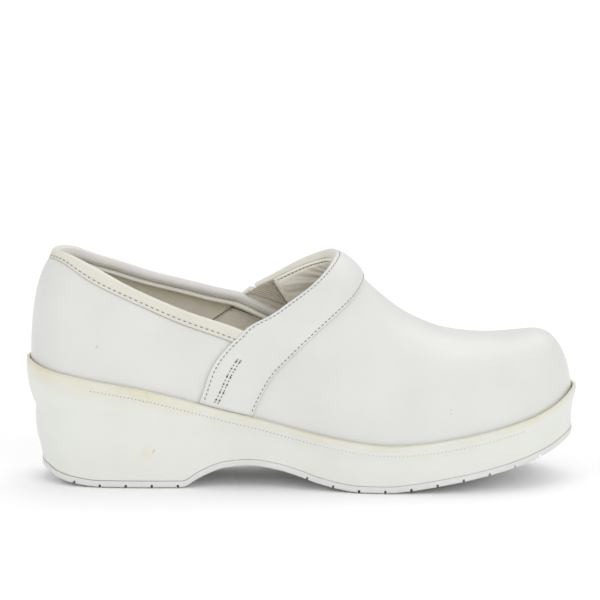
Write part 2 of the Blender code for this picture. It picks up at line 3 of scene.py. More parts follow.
import bmesh
import bpy
import numpy as np
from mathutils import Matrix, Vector


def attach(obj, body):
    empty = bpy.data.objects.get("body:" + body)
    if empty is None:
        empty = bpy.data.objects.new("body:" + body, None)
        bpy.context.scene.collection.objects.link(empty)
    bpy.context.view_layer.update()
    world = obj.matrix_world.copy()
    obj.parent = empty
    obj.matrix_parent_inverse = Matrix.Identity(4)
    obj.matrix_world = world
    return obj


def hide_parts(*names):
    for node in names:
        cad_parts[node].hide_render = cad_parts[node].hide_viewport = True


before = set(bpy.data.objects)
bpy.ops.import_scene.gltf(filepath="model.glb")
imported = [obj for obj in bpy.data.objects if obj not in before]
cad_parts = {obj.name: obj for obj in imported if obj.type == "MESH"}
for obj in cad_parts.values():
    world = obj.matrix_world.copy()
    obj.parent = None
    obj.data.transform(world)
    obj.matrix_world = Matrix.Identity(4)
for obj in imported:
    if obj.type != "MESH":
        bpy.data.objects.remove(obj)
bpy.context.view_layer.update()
bpy.ops.object.select_all(action="DESELECT")
print("frame loaded")

# The shoe's own sizes, in metres. The row frame's origin is the middle of the sole's rim.
shoe = {
    "lastLength": 0.2712, "ballWidth": 0.0954,
    "heelRound": 0.048, "toeRound": 0.074, "heelSteep": 0.025, "toeSteep": 0.023, "heelPower": 0.38,
    "instepHeight": 0.1130, "toeHeight": 0.0728,
    "seatHeight": 0.052, "ballHeight": 0.018, "toeSpring": 0.020, "archHeight": 0.011, "heelBevel": 0.007,
    "outsoleThickness": 0.0036, "rimHeight": 0.0062, "rimWall": 0.0018,
    "heelTaper": 0.0080, "heelSideTaper": 0.0032, "wallTaper": 0.0024,
    "wall": 0.0022, "fit": 0.0003, "curvedFit": 0.0005, "seatGap": 0.0006,
}

# Plan of the last: station is a share of its length, the others are shares of half the ball width
plan = {
    "station": (0.00, 0.08, 0.20, 0.30, 0.39, 0.48, 0.58, 0.68, 0.76, 0.85, 0.93, 1.00),
    "axis": (0.00, 0.00, -0.03, -0.05, -0.055, -0.055, -0.05, -0.03, 0.00, 0.04, 0.075, 0.10),
    "half": (0.71, 0.70, 0.70, 0.672, 0.66, 0.735, 0.90, 0.985, 1.00, 0.965, 0.915, 0.89),
    "crest": (0.00, 0.00, 0.03, 0.06, 0.08, 0.10, 0.12, 0.12, 0.10, 0.07, 0.03, 0.00),
    "boxiness": (2.60, 2.60, 2.35, 2.15, 2.10, 2.02, 2.00, 2.05, 2.20, 2.40, 2.50, 2.50),
}
# Top line: 0 is the toe's height, 1 the instep's
crest = {
    "station": (0.00, 0.04, 0.10, 0.16, 0.22, 0.33, 0.44, 0.51, 0.555, 0.585, 0.615, 0.645, 0.685, 0.725,
                0.76, 0.80, 0.84, 0.90, 0.95, 1.00),
    "height": (1.09, 1.10, 1.19, 1.31, 1.38, 1.36, 1.25, 1.12, 1.00, 0.85, 0.66, 0.475, 0.265, 0.125,
               0.04, -0.01, -0.03, 0.00, 0.03, 0.03),
}
# How the cup's floor climbs from the ball to seat and toe, and how high the rim stands over it
cup = {
    "station": (0.00, 0.03, 0.067, 0.13, 0.204, 0.278, 0.352, 0.426, 0.50, 0.574, 0.63, 0.667, 0.722,
                0.797, 0.87, 0.925, 0.963, 1.00),
    "seat": (1.00, 0.99, 0.97, 0.897, 0.78, 0.632, 0.47, 0.325, 0.18, 0.07, 0.015) + (0.00,) * 7,
    "toe": (0.00,) * 12 + (0.05, 0.195, 0.39, 0.58, 0.77, 1.00),
    "rim": (1.50, 1.15, 0.93, 0.85, 0.93, 0.97, 0.97, 1.00, 1.02, 1.03, 1.03, 1.03, 1.05,
            1.05, 1.03, 1.03, 1.08, 1.32),
}
# What lifts the tread off the floor
walk = {
    "station": (0.00, 0.025, 0.052, 0.080, 0.130, 0.281, 0.310, 0.333, 0.356, 0.407, 0.459, 0.485, 0.533,
                0.578, 0.606, 0.655, 0.700, 0.760, 0.823, 0.900, 0.955, 0.99, 1.00),
    "bevel": (1.00, 0.88, 0.45, 0.20) + (0.00,) * 19,
    "arch": (0.00,) * 6 + (0.39, 0.67, 0.87, 1.00, 0.83, 0.66, 0.29, 0.07) + (0.00,) * 9,
    "spring": (0.00,) * 16 + (0.06, 0.19, 0.34, 0.57, 0.81, 1.02, 1.08),
}
# How far the sole's wall steps in at each share of its height
sidewall = {
    "height": (0.00, 0.10, 0.20, 0.31, 0.43, 0.52, 0.60, 0.68, 0.80, 0.945, 1.00),
    "back": (1.00, 0.87, 0.72, 0.57, 0.54, 0.56, 0.37, 0.20, 0.07, 0.00, 0.10),
    "side": (1.00, 1.00, 0.98, 0.95, 0.88, 0.80, 0.68, 0.50, 0.22, 0.00, 0.25),
}
# Lines on the last, from the outer side over the crest to the inner side; side -1 is the outer one
bandEdgeLine = {
    "station": (0.309, 0.324, 0.334, 0.349, 0.366, 0.381, 0.391, 0.398, 0.437, 0.476, 0.514, 0.543, 0.556,
                0.561, 0.548, 0.532, 0.510, 0.478, 0.441, 0.408, 0.386, 0.364, 0.345, 0.325, 0.309),
    "height": (0.000, 0.144, 0.238, 0.325, 0.393, 0.443, 0.475, 0.502, 0.590, 0.690, 0.795, 0.898, 0.962,
               1.000, 0.974, 0.936, 0.889, 0.816, 0.729, 0.656, 0.592, 0.502, 0.362, 0.176, 0.000),
    "side": (-1,) * 14 + (1,) * 11,
}
bandSeamLine = {
    "station": (0.403, 0.421, 0.433, 0.450, 0.471, 0.499, 0.528, 0.557, 0.586, 0.604, 0.613,
                0.606, 0.590, 0.562, 0.530, 0.494, 0.458, 0.430, 0.408),
    "height": (0.000, 0.145, 0.219, 0.308, 0.387, 0.487, 0.587, 0.693, 0.821, 0.928, 1.000,
               0.955, 0.880, 0.770, 0.660, 0.530, 0.370, 0.190, 0.000),
    "side": (-1,) * 11 + (1,) * 8,
}
toplineLine = {
    "station": (0.352, 0.301, 0.223, 0.164, 0.112, 0.079, 0.057, 0.0445,
                0.057, 0.079, 0.111, 0.150, 0.217, 0.291, 0.350),
    "height": (0.496, 0.519, 0.589, 0.678, 0.797, 0.893, 0.958, 1.000,
               0.958, 0.896, 0.811, 0.735, 0.645, 0.611, 0.597),
    "side": (-1,) * 8 + (1,) * 7,
}
cornerRows = (6, 20)  # rows of bandEdgeLine where the collar goes under the band


def spline(xs, ys):
    # natural cubic through the points
    xs, ys = np.asarray(xs, float), np.asarray(ys, float)
    count, gap = len(xs), np.diff(xs)
    system, right = np.eye(count), np.zeros((count,) + ys.shape[1:])
    for i in range(1, count - 1):
        system[i, i - 1:i + 2] = gap[i - 1], 2 * (gap[i - 1] + gap[i]), gap[i]
        right[i] = 6 * ((ys[i + 1] - ys[i]) / gap[i] - (ys[i] - ys[i - 1]) / gap[i - 1])
    bend = np.linalg.solve(system, right)

    def read(x):
        x = np.asarray(x, float)
        i = np.clip(np.searchsorted(xs, x) - 1, 0, count - 2)
        h, after, before = gap[i], xs[i + 1] - x, x - xs[i]
        if ys.ndim > 1:
            h, after, before = h[..., None], after[..., None], before[..., None]
        return ((bend[i] * after**3 + bend[i + 1] * before**3) / (6 * h)
                + (ys[i] / h - bend[i] * h / 6) * after + (ys[i + 1] / h - bend[i + 1] * h / 6) * before)

    return read


def steady(xs, ys):
    # cubic that never passes its points, so level stretches stay level
    xs, ys = np.asarray(xs, float), np.asarray(ys, float)
    gap = np.diff(xs)
    slope = np.diff(ys) / gap
    tangent = np.zeros(len(xs))
    for i in range(1, len(xs) - 1):
        if slope[i - 1] * slope[i] > 0:
            a, b = 2 * gap[i] + gap[i - 1], gap[i] + 2 * gap[i - 1]
            tangent[i] = (a + b) / (a / slope[i - 1] + b / slope[i])
    tangent[0], tangent[-1] = slope[0], slope[-1]

    def read(x):
        x = np.clip(np.asarray(x, float), xs[0], xs[-1])
        i = np.clip(np.searchsorted(xs, x) - 1, 0, len(xs) - 2)
        t = (x - xs[i]) / gap[i]
        return (ys[i] * (1 + 2 * t) * (1 - t)**2 + gap[i] * tangent[i] * t * (1 - t)**2
                + ys[i + 1] * t**2 * (3 - 2 * t) + gap[i] * tangent[i + 1] * t**2 * (t - 1))

    return read


def curves(table, kind, key="station"):
    return {name: kind(table[key], values) for name, values in table.items() if name != key}


planOf, crestOf = curves(plan, spline), curves(crest, spline)["height"]
cupOf, walkOf, wallOf = curves(cup, steady), curves(walk, steady), curves(sidewall, steady, "height")


def closing(distance, reach, power=0.5):
    # 0 at an end of the last and 1 past the reach, so that the end is round
    share = np.clip(np.asarray(distance, float) / reach, 0, 1)
    return (1 - (1 - share)**3)**power


def cupFloor(station):
    return (shoe["ballHeight"] + (shoe["seatHeight"] - shoe["ballHeight"]) * cupOf["seat"](station)
            + shoe["toeSpring"] * cupOf["toe"](station))


def rimTop(station):
    return cupFloor(station) + shoe["rimHeight"] * cupOf["rim"](station)


def ground(station):
    return (shoe["heelBevel"] * walkOf["bevel"](station) + shoe["archHeight"] * walkOf["arch"](station)
            + shoe["toeSpring"] * walkOf["spring"](station))


def halfWidth(station):
    x = station * shoe["lastLength"]
    return (shoe["ballWidth"] / 2 * planOf["half"](station) * closing(x, shoe["heelRound"])
            * closing(shoe["lastLength"] - x, shoe["toeRound"]))


def rise(station):
    x = station * shoe["lastLength"]
    top = shoe["toeHeight"] + (shoe["instepHeight"] - shoe["toeHeight"]) * crestOf(station)
    return ((top - cupFloor(station) - shoe["seatGap"]) * closing(x, shoe["heelSteep"], shoe["heelPower"])
            * closing(shoe["lastLength"] - x, shoe["toeSteep"]))


def unit(v):
    return v / np.maximum(np.linalg.norm(v, axis=-1, keepdims=True), 1e-15)


def lastPoint(dome):
    # a unit dome, +X the toe and +Y the inner side, laid out as the upper's outer surface
    station = np.clip((1 + dome[..., 0]) / 2, 0, 1)
    reach = np.maximum(np.hypot(dome[..., 1], dome[..., 2]), 1e-12)
    across, up = dome[..., 1] / reach, dome[..., 2] / reach
    power = 2 / planOf["boxiness"](station)
    half, lean = halfWidth(station), planOf["crest"](station)
    wide = half * (1 - np.sign(across) * lean)
    y = (shoe["ballWidth"] / 2 * planOf["axis"](station) + lean * half
         + np.sign(across) * wide * np.abs(across)**power)
    z = cupFloor(station) + shoe["seatGap"] + rise(station) * np.sign(up) * np.abs(up)**power
    return np.stack([station * shoe["lastLength"], y, z], axis=-1)


def lastNormal(dome):
    side = unit(np.cross(dome, np.array([0.31, 0.17, 0.93])))
    other = np.cross(dome, side)
    step = 2e-3
    a = lastPoint(unit(dome + step * side)) - lastPoint(unit(dome - step * side))
    b = lastPoint(unit(dome + step * other)) - lastPoint(unit(dome - step * other))
    return unit(np.cross(a, b))


def domePoints(line):
    station, height, side = (np.asarray(line[name], float) for name in ("station", "height", "side"))
    x = 2 * station - 1
    up = height**(planOf["boxiness"](station) / 2)
    across = side * np.sqrt(np.maximum(0, 1 - up**2))
    reach = np.sqrt(1 - x**2)
    return np.stack([x, across * reach, up * reach], axis=-1)


def domeCurve(points):
    steps = np.linalg.norm(np.diff(points, axis=0), axis=1)
    along = np.concatenate([[0], np.cumsum(steps)]) / steps.sum()
    through = spline(along, points)
    return along, lambda share: unit(through(share))


def between(start, end, share):
    share = np.asarray(share, float)[..., None]
    return unit((1 - share) * start + share * end)


def edgeOfDome(angle):
    return np.stack([-np.cos(angle), -np.sin(angle), np.zeros_like(angle)], axis=-1)


def ribLengths(foot, head):
    points = np.stack([lastPoint(between(foot, head, share)) for share in np.linspace(0, 1, 25)])
    return np.linalg.norm(np.diff(points, axis=0), axis=2).sum(axis=0)


def onRibs(foot, head, share):
    dome = between(foot, head, share)
    return lastPoint(dome), lastNormal(dome)


def edgeFrame(foot, head, length):
    # points of an edge, their normals, and the way on beyond the edge
    edge = lastPoint(head)
    return edge, lastNormal(head), unit(edge - lastPoint(between(foot, head, 1 - 0.001 / length)))


edgeMarks, bandEdge = domeCurve(domePoints(bandEdgeLine))
bandSeam = domeCurve(domePoints(bandSeamLine))[1]
corners = [edgeMarks[row] for row in cornerRows]
cornerPoints = bandEdge(np.array(corners))
topline = domeCurve(np.concatenate([cornerPoints[:1], domePoints(toplineLine), cornerPoints[1:]]))[1]
bandFootAngle = math.acos(1 - 2 * bandEdgeLine["station"][0])
# The collar runs on inside the band at both ends
collarRun = {"station": (0.475, 0.425), "outer": (0.430, 0.455), "inner": (0.533, 0.570)}
outerRun, innerRun = (
    domePoints({"station": collarRun["station"], "height": collarRun[part], "side": (side, side)})
    for part, side in (("outer", -1), ("inner", 1)))
collarMarks, collarThrough = domeCurve(np.concatenate([
    outerRun, cornerPoints[:1], domePoints(toplineLine), cornerPoints[1:], innerRun[::-1]]))
collarStart, collarEnd = collarMarks[2], collarMarks[-3]


def collarLine(share):
    # 0 and 1 are the corners where the collar meets the band
    return collarThrough(collarStart + share * (collarEnd - collarStart))


collarReach = [(mark - collarStart) / (collarEnd - collarStart) for mark in (collarMarks[0], 1)]


def feather(angle, out):
    # plan points of the feather line, moved out by a distance
    def at(a):
        station = (1 - np.cos(a)) / 2
        side = np.where(np.sin(a) >= 0, -1.0, 1.0)
        y = shoe["ballWidth"] / 2 * planOf["axis"](station) + side * halfWidth(station)
        return np.stack([station * shoe["lastLength"], y], axis=-1)

    tangent = unit(at(angle + 1e-4) - at(angle - 1e-4))
    outward = np.stack([tangent[..., 1], -tangent[..., 0]], axis=-1)
    return at(angle) + np.asarray(out + 0 * angle)[..., None] * outward, outward


soleMargin = shoe["rimWall"] + shoe["curvedFit"]
rimPlan = feather(np.linspace(0, 2 * math.pi, 721), soleMargin)[0]
origin = np.array([(rimPlan[:, 0].max() + rimPlan[:, 0].min()) / 2,
                   (rimPlan[:, 1].max() + rimPlan[:, 1].min()) / 2, 0.0])


def gridPiece(name, points, facing=None, closeRows=False, closeColumns=False, caps=False, second=(0, 0)):
    # a primitive grid laid out over an array of points, rows by columns; facing is the way out,
    # and the columns in second take the second material
    if facing is not None:
        facing = np.broadcast_to(facing, np.shape(points))
    points = np.asarray(points) - origin
    if closeRows:
        points = np.concatenate([points, points[:1]])
    if closeColumns:
        points = np.concatenate([points, points[:, :1]], axis=1)
    rows, columns = points.shape[:2]
    bpy.ops.object.select_all(action="DESELECT")
    bpy.ops.mesh.primitive_grid_add(x_subdivisions=columns - 1, y_subdivisions=rows - 1, size=1)
    thing = bpy.context.object
    thing.name = thing.data.name = name
    flat = np.zeros(len(thing.data.vertices) * 3)
    thing.data.vertices.foreach_get("co", flat)
    flat = flat.reshape(-1, 3)
    column = np.rint((flat[:, 0] + 0.5) * (columns - 1)).astype(int)
    row = np.rint((flat[:, 1] + 0.5) * (rows - 1)).astype(int)
    for face in thing.data.polygons:
        strip = int((face.center[0] + 0.5) * (columns - 1))
        face.material_index = int(second[0] <= strip < second[1])
    thing.data.vertices.foreach_set("co", points[row, column].reshape(-1))
    body = bmesh.new()
    body.from_mesh(thing.data)
    if facing is not None:
        body.normal_update()
        body.faces.ensure_lookup_table()
        middle = body.faces[len(body.faces) // 2]
        near = np.linalg.norm(points - np.array(middle.calc_center_median()), axis=-1)
        way = facing[np.unravel_index(near.argmin(), near.shape)]
        if middle.normal.dot(Vector(way)) < 0:
            bmesh.ops.reverse_faces(body, faces=body.faces)
    if closeRows or closeColumns:
        bmesh.ops.remove_doubles(body, verts=body.verts, dist=2e-6)
    if caps:
        bmesh.ops.holes_fill(body, edges=[e for e in body.edges if e.is_boundary])
        bmesh.ops.recalc_face_normals(body, faces=body.faces)
    body.to_mesh(thing.data)
    body.free()
    bpy.ops.object.shade_smooth()
    return thing


def selectOnly(thing):
    bpy.ops.object.select_all(action="DESELECT")
    thing.select_set(True)
    bpy.context.view_layer.objects.active = thing


def applyModifier(thing, kind, **settings):
    modifier = thing.modifiers.new(kind.title(), kind)
    for key, value in settings.items():
        setattr(modifier, key, value)
    selectOnly(thing)
    bpy.ops.object.modifier_apply(modifier=modifier.name)


def finishPiece(thing, material, replaced=(), angle=None, second=None):
    # angle keeps sharper edges crisp, second is the material of the strip that gridPiece marked
    places = [face.material_index for face in thing.data.polygons]
    thing.data.materials.clear()
    thing.data.materials.append(material)
    if second:
        thing.data.materials.append(second)
        thing.data.polygons.foreach_set("material_index", places)
    if angle:
        selectOnly(thing)
        bpy.ops.object.shade_smooth_by_angle(angle=math.radians(angle))
    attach(thing, "root")
    if replaced:
        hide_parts(*replaced)
    return thing


# Materials

def linear(code):
    # sRGB hex to linear colour
    parts = [int(code[i:i + 2], 16) / 255 for i in (1, 3, 5)]
    return tuple(c / 12.92 if c <= 0.04045 else ((c + 0.055) / 1.055)**2.4 for c in parts) + (1.0,)


def addNode(tree, kind, settings=None, links=None):
    node = tree.nodes.new("ShaderNode" + kind)
    for key, value in (settings or {}).items():
        if isinstance(key, int) or key in node.inputs:
            node.inputs[key].default_value = value
        else:
            setattr(node, key, value)
    for key, source in (links or {}).items():
        tree.links.new(source, node.inputs[key])
    return node


def startMaterial(name, roughness, ior=1.5, coat=0.0, coatRoughness=0.3, sheen=0.0):
    material = bpy.data.materials.new(name)
    material.use_nodes = True
    shader = material.node_tree.nodes["Principled BSDF"]
    for socket, value in (("Roughness", roughness), ("IOR", ior), ("Coat Weight", coat),
                          ("Coat Roughness", coatRoughness), ("Sheen Weight", sheen)):
        shader.inputs[socket].default_value = value
    return material, material.node_tree, shader


def addGrain(tree, shader, where, size, detail, strength, depth):
    # fine noise that only raises and lowers the surface
    noise = addNode(tree, "TexNoise", {"Scale": 1 / size, "Detail": detail}, {"Vector": where})
    bump = addNode(tree, "Bump", {"Strength": strength, "Distance": depth}, {"Height": noise.outputs["Fac"]})
    tree.links.new(bump.outputs["Normal"], shader.inputs["Normal"])
    return bump


def mottle(tree, where, size, low, high, detail=4.0):
    # soft noise of a real size in metres, spread between two values
    noise = addNode(tree, "TexNoise", {"Scale": 1 / size, "Detail": detail}, {"Vector": where})
    spread = addNode(tree, "MapRange", {"From Min": 0.3, "From Max": 0.7, "To Min": low, "To Max": high},
                     {"Value": noise.outputs["Fac"]})
    return spread.outputs["Result"]


def mixColours(tree, share, a, b):
    mix = addNode(tree, "Mix", {"data_type": "RGBA"}, {0: share})
    for socket, colour in ((6, a), (7, b)):
        if isinstance(colour, str):
            mix.inputs[socket].default_value = linear(colour)
        else:
            tree.links.new(colour, mix.inputs[socket])
    return mix.outputs[2]


def addMarks(tree, where, colour, marks, patch, wobble, core):
    # small stains: place in the row frame, radius, tint, and how strong each is at its heart
    for place, radius, tint, most in marks:
        near = addNode(tree, "VectorMath", {"operation": "DISTANCE", 1: place}, {0: where})
        uneven = mottle(tree, where, radius * patch, -radius * wobble, radius * wobble)
        rough = addNode(tree, "Math", {"operation": "ADD"}, {0: near.outputs["Value"], 1: uneven})
        share = addNode(tree, "MapRange", {"From Min": radius * core, "From Max": radius,
                                           "To Min": most, "To Max": 0.0}, {"Value": rough.outputs[0]})
        colour = mixColours(tree, share.outputs["Result"], colour, tint)
    return colour


# pebbles, and the broader unevenness under them as a share of a colour patch
leatherGrain = {"softness": 0.6, "depth": 0.0003, "wrinkle": 0.25, "wrinkleDepth": 0.0008,
                "wrinkleShare": 0.4}


def leatherMaterial(name, look):
    # corrected-grain leather under a pigment finish: nearly even colour, a fine pebble and a soft satin
    material, tree, shader = startMaterial(name, look["roughness"], 1.48, look["coat"], 0.35)
    where = addNode(tree, "TexCoord").outputs["Object"]
    colour = mixColours(tree, mottle(tree, where, look["patch"], 0, 1), look["colour"], look["shade"])
    colour = addMarks(tree, where, colour, look.get("marks", ()), 1.0, 0.4, 0.4)
    tree.links.new(colour, shader.inputs["Base Color"])
    pebble = addNode(tree, "TexVoronoi", {"feature": "SMOOTH_F1", "Scale": 1 / look["pebble"],
                                          "Smoothness": leatherGrain["softness"]}, {"Vector": where})
    fine = addNode(tree, "Bump", {"Strength": look["grain"], "Distance": leatherGrain["depth"]},
                   {"Height": pebble.outputs["Distance"]})
    broad = addGrain(tree, shader, where, look["patch"] * leatherGrain["wrinkleShare"], 3.0,
                     leatherGrain["wrinkle"], leatherGrain["wrinkleDepth"])
    tree.links.new(fine.outputs["Normal"], broad.inputs["Normal"])
    rough = mottle(tree, where, look["patch"] * 0.6, look["roughness"] - 0.04, look["roughness"] + 0.06)
    tree.links.new(rough, shader.inputs["Roughness"])
    return material


# cool white cover of upper and band: a satin sheen, with four small marks of wear
leatherLook = {"colour": "#DBDCD8", "shade": "#D6D7D3", "roughness": 0.46, "coat": 0.10, "patch": 0.03,
               "pebble": 0.0009, "grain": 0.20, "marks": (
                   ((-0.1009, -0.0325, 0.0708), 0.0009, "#B5B2A8", 0.55),
                   ((0.0731, -0.0439, 0.0414), 0.0005, "#8C887C", 0.55),
                   ((0.0731, -0.0446, 0.0396), 0.0005, "#8C887C", 0.55),
                   ((0.0080, -0.0372, 0.0550), 0.0006, "#B8B4A9", 0.55))}
finishedLeather = leatherMaterial("finished_white_leather", leatherLook)
# thin folded binding: warmer, finer and a touch glossier than the cover
bindingLook = {"colour": "#DAD7CD", "shade": "#D5D2C6", "roughness": 0.44, "coat": 0.10, "patch": 0.02,
               "pebble": 0.0008, "grain": 0.15}
bindingLeather = leatherMaterial("cream_binding_leather", bindingLook)
# unfinished lining: matt, creamy and a little blotched, so the inside looks soft
liningLook = {"colour": "#EBE6D8", "shade": "#E1DCCD", "roughness": 0.62, "coat": 0.0, "patch": 0.025,
              "pebble": 0.0011, "grain": 0.30}
liningLeather = leatherMaterial("greige_lining_leather", liningLook)
# stretched over foam: the palest leather, smooth enough to show its folds
padLook = {"colour": "#F8F4E9", "shade": "#F3EFE3", "roughness": 0.55, "coat": 0.0, "patch": 0.02,
           "pebble": 0.0010, "grain": 0.25}
padLeather = leatherMaterial("cream_padded_lining", padLook)
# lining of the collar's roll: greyer than the binding, partly a greyer lining leather and partly painted
# shade of the roll's inner side, which sets it off from the binding
rollShadeLook = {"colour": "#CECBC6", "shade": "#C7C4BF", "roughness": 0.5, "coat": 0.05, "patch": 0.02,
            "pebble": 0.0008, "grain": 0.15}
rollShadedLeather = leatherMaterial("grey_roll_leather_painted_shade", rollShadeLook)
# front panel of the lining: flat, matt and paler than the lining behind it
panelLook = {"colour": "#F5F1E6", "shade": "#EFEBDF", "roughness": 0.6, "coat": 0.0, "patch": 0.02,
             "pebble": 0.0010, "grain": 0.3}
panelLeather = leatherMaterial("pale_lining_leather", panelLook)


def soleMaterial(look):
    # moulded polyurethane: smooth skin with a soft sheen, gone yellow along the rim
    material, tree, shader = startMaterial("moulded_polyurethane", look["roughness"], 1.5, 0.05, 0.4)
    coords = addNode(tree, "TexCoord")
    where = coords.outputs["Object"]
    height = addNode(tree, "SeparateXYZ", links={"Vector": coords.outputs["UV"]}).outputs["Y"]
    base = mixColours(tree, mottle(tree, where, look["patch"], 0, 1), look["colour"], look["shade"])
    ramp = addNode(tree, "MapRange", {"From Min": look["yellowFrom"], "From Max": look["yellowTo"]},
                   {"Value": height})
    uneven = mottle(tree, where, look["yellowPatch"], look["yellowLeast"], 1.0, 6.0)
    patch = addNode(tree, "Math", {"operation": "MULTIPLY"}, {0: ramp.outputs["Result"], 1: uneven})
    colour = mixColours(tree, patch.outputs[0], base, look["yellow"])
    colour = addMarks(tree, where, colour, look["marks"], 0.6, 0.5, 0.2)
    tree.links.new(colour, shader.inputs["Base Color"])
    addGrain(tree, shader, where, look["skin"], 2.0, look["bump"], 0.0003)
    return material


soleLook = {"colour": "#DFE0DA", "shade": "#DBDDD6", "yellow": "#D9D4BC", "roughness": 0.5, "patch": 0.02,
            "yellowFrom": 0.68, "yellowTo": 0.84, "yellowPatch": 0.018, "yellowLeast": 0.25,
            "skin": 0.0012, "bump": 0.08,
            "marks": (((-0.0769, -0.0338, 0.0175), 0.0040, "#DDD6BC", 0.5),
                      ((-0.0729, -0.0338, 0.0192), 0.0008, "#A39B88", 0.7),
                      ((-0.0736, -0.0338, 0.0181), 0.0006, "#A8A08C", 0.6),
                      ((-0.0840, -0.0368, 0.0485), 0.0030, "#C6BDA4", 0.24),
                      ((-0.0900, -0.0370, 0.0500), 0.0024, "#CCC3AA", 0.20),
                      ((-0.0760, -0.0368, 0.0468), 0.0022, "#C8BFA6", 0.20))}
mouldedSole = soleMaterial(soleLook)


def plainMaterial(name, colour, shade, roughness, size, bumpSize, bumpStrength, sheen=0.0):
    material, tree, shader = startMaterial(name, roughness, sheen=sheen)
    where = addNode(tree, "TexCoord").outputs["Object"]
    mixed = mixColours(tree, mottle(tree, where, size, 0, 1), colour, shade)
    tree.links.new(mixed, shader.inputs["Base Color"])
    addGrain(tree, shader, where, bumpSize, 3.0, bumpStrength, 0.0004)
    return material


# vulcanised rubber: even and matt from the mould, a line of grey under the white sole
outsoleRubber = plainMaterial("light_grey_rubber", "#DDDDDA", "#D7D7D4", 0.6, 0.02, 0.0010, 0.15)
# knitted elastic: dull and fuzzy, the darkest part of the throat
goreElastic = plainMaterial("ribbed_elastic", "#CBC2B4", "#BDB4A6", 0.85, 0.004, 0.0006, 0.4, 0.3)
# cotton thread: dark dashes that draw every seam
greyThread = plainMaterial("grey_cotton_thread", "#6B6A66", "#5E5D59", 0.7, 0.002, 0.0004, 0.3)
# polyurethane dots: dirty along the rear half, nearly clean along the front one
dotShade = plainMaterial("soiled_moulded_dots", "#8F8B7C", "#A29E8E", 0.7, 0.006, 0.0005, 0.2)
dotPale = plainMaterial("moulded_dots", "#C9C6B4", "#B9B6A4", 0.7, 0.006, 0.0005, 0.2)
# painted shade in the seams: light grey under the binding's edge, dark along the raw edges inside
bindingLipShade = plainMaterial("painted_shade_under_binding", "#A5A298", "#B3B0A6", 0.8, 0.004, 0.0005, 0.2)
seamShade = plainMaterial("painted_seam_edge_shade", "#6F6A5C", "#827C6D", 0.8, 0.004, 0.0005, 0.2)
# brushed textile of the footbed: soft and without a shine
insoleFabric = plainMaterial("footbed_textile", "#CBC5B5", "#C0BAA9", 0.85, 0.01, 0.0008, 0.5, 0.2)
print("materials made")

# Upper: one wall of leather, drawn from the same ribs as the solid
upperLook = {"quarterRibs": 220, "vampRibs": 240, "levels": 96}
# Soft troughs on the leather: place in the row frame, direction of the trough, half width, half length, depth
creases = (
    ((0.066, -0.012, 0.078), (0.05, 1.0, 0.0), 0.0050, 0.026, 0.00035),
    ((0.082, -0.010, 0.076), (-0.08, 1.0, 0.0), 0.0045, 0.022, 0.00025),
    ((-0.060, -0.036, 0.082), (1.0, 0.0, 0.10), 0.0100, 0.028, 0.00045),
    ((-0.088, -0.034, 0.070), (0.5, 0.0, 1.0), 0.0080, 0.020, 0.00030),
    ((0.010, -0.046, 0.052), (0.35, 0.0, 1.0), 0.0100, 0.022, 0.00040),
)


def creaseDepth(points):
    points = points - origin
    depth = np.zeros(points.shape[:-1])
    for place, along, width, length, most in creases:
        along = unit(np.array(along))
        offset = points - np.array(place)
        run = offset @ along
        aside = np.sqrt(np.maximum(np.sum(offset**2, axis=-1) - run**2, 0))
        depth += most * np.exp(-(run / length)**2 - (aside / width)**2)
    return depth


def upperGrid(levels, out):
    quarter = np.arange(upperLook["quarterRibs"]) / upperLook["quarterRibs"]
    vamp = np.arange(upperLook["vampRibs"]) / upperLook["vampRibs"]
    feet = np.concatenate([edgeOfDome(bandFootAngle * (1 - 2 * quarter)),
                           edgeOfDome(-bandFootAngle - (2 * math.pi - 2 * bandFootAngle) * vamp)])
    heads = np.concatenate([topline(quarter), bandEdge(corners[1] + (corners[0] - corners[1]) * vamp)])
    dome = between(feet[:, None], heads[:, None], np.tile(levels, (len(feet), 1)))
    normal = lastNormal(dome)
    at = lastPoint(dome)
    return at + normal * (out - creaseDepth(at))[..., None], normal


def stripOverSlit(width, down, out, lean=0.0):
    # points about the slit on the inner side: columns across it, rows from the band's edge down
    probe = 0.01
    ends = lastPoint(bandEdge(np.array([slit["place"] - probe, slit["place"] + probe])))
    perMetre = 2 * probe / np.linalg.norm(ends[1] - ends[0])
    dome = []
    for drop in down:
        shares = slit["place"] + (np.asarray(width, float) + lean * drop) * perMetre
        foot, head = bandSeam(shares), bandEdge(shares)
        dome.append(between(foot, head, 1 - drop / ribLengths(foot, head)))
    dome = np.stack(dome)
    normal = lastNormal(dome)
    return lastPoint(dome) + normal * np.asarray(out, float)[..., None], normal


slit = {"place": 0.785, "width": 0.0030, "length": 0.018, "above": 0.005, "inward": 0.0075, "outward": 0.007}


def slitCutter():
    down = np.linspace(-slit["above"], slit["length"], 12)
    across = (-slit["width"] / 2, 0, slit["width"] / 2)
    low, high = (stripOverSlit(across, down, out)[0] for out in (-slit["inward"], slit["outward"]))
    return gridPiece("slitCutter", np.concatenate([low, high[:, ::-1]], axis=1), closeColumns=True, caps=True)


def cutWith(thing, cutter):
    applyModifier(thing, "BOOLEAN", operation="DIFFERENCE", solver="EXACT", object=cutter)


cutter = slitCutter()
points, facing = upperGrid(np.linspace(0, 1, upperLook["levels"]), 0.0)
upper = gridPiece("upperLeather", points, facing, closeRows=True)
applyModifier(upper, "SOLIDIFY", thickness=shoe["wall"], offset=-1)
cutWith(upper, cutter)
finishPiece(upper, finishedLeather, ("upper",), 40)
print("upper made")

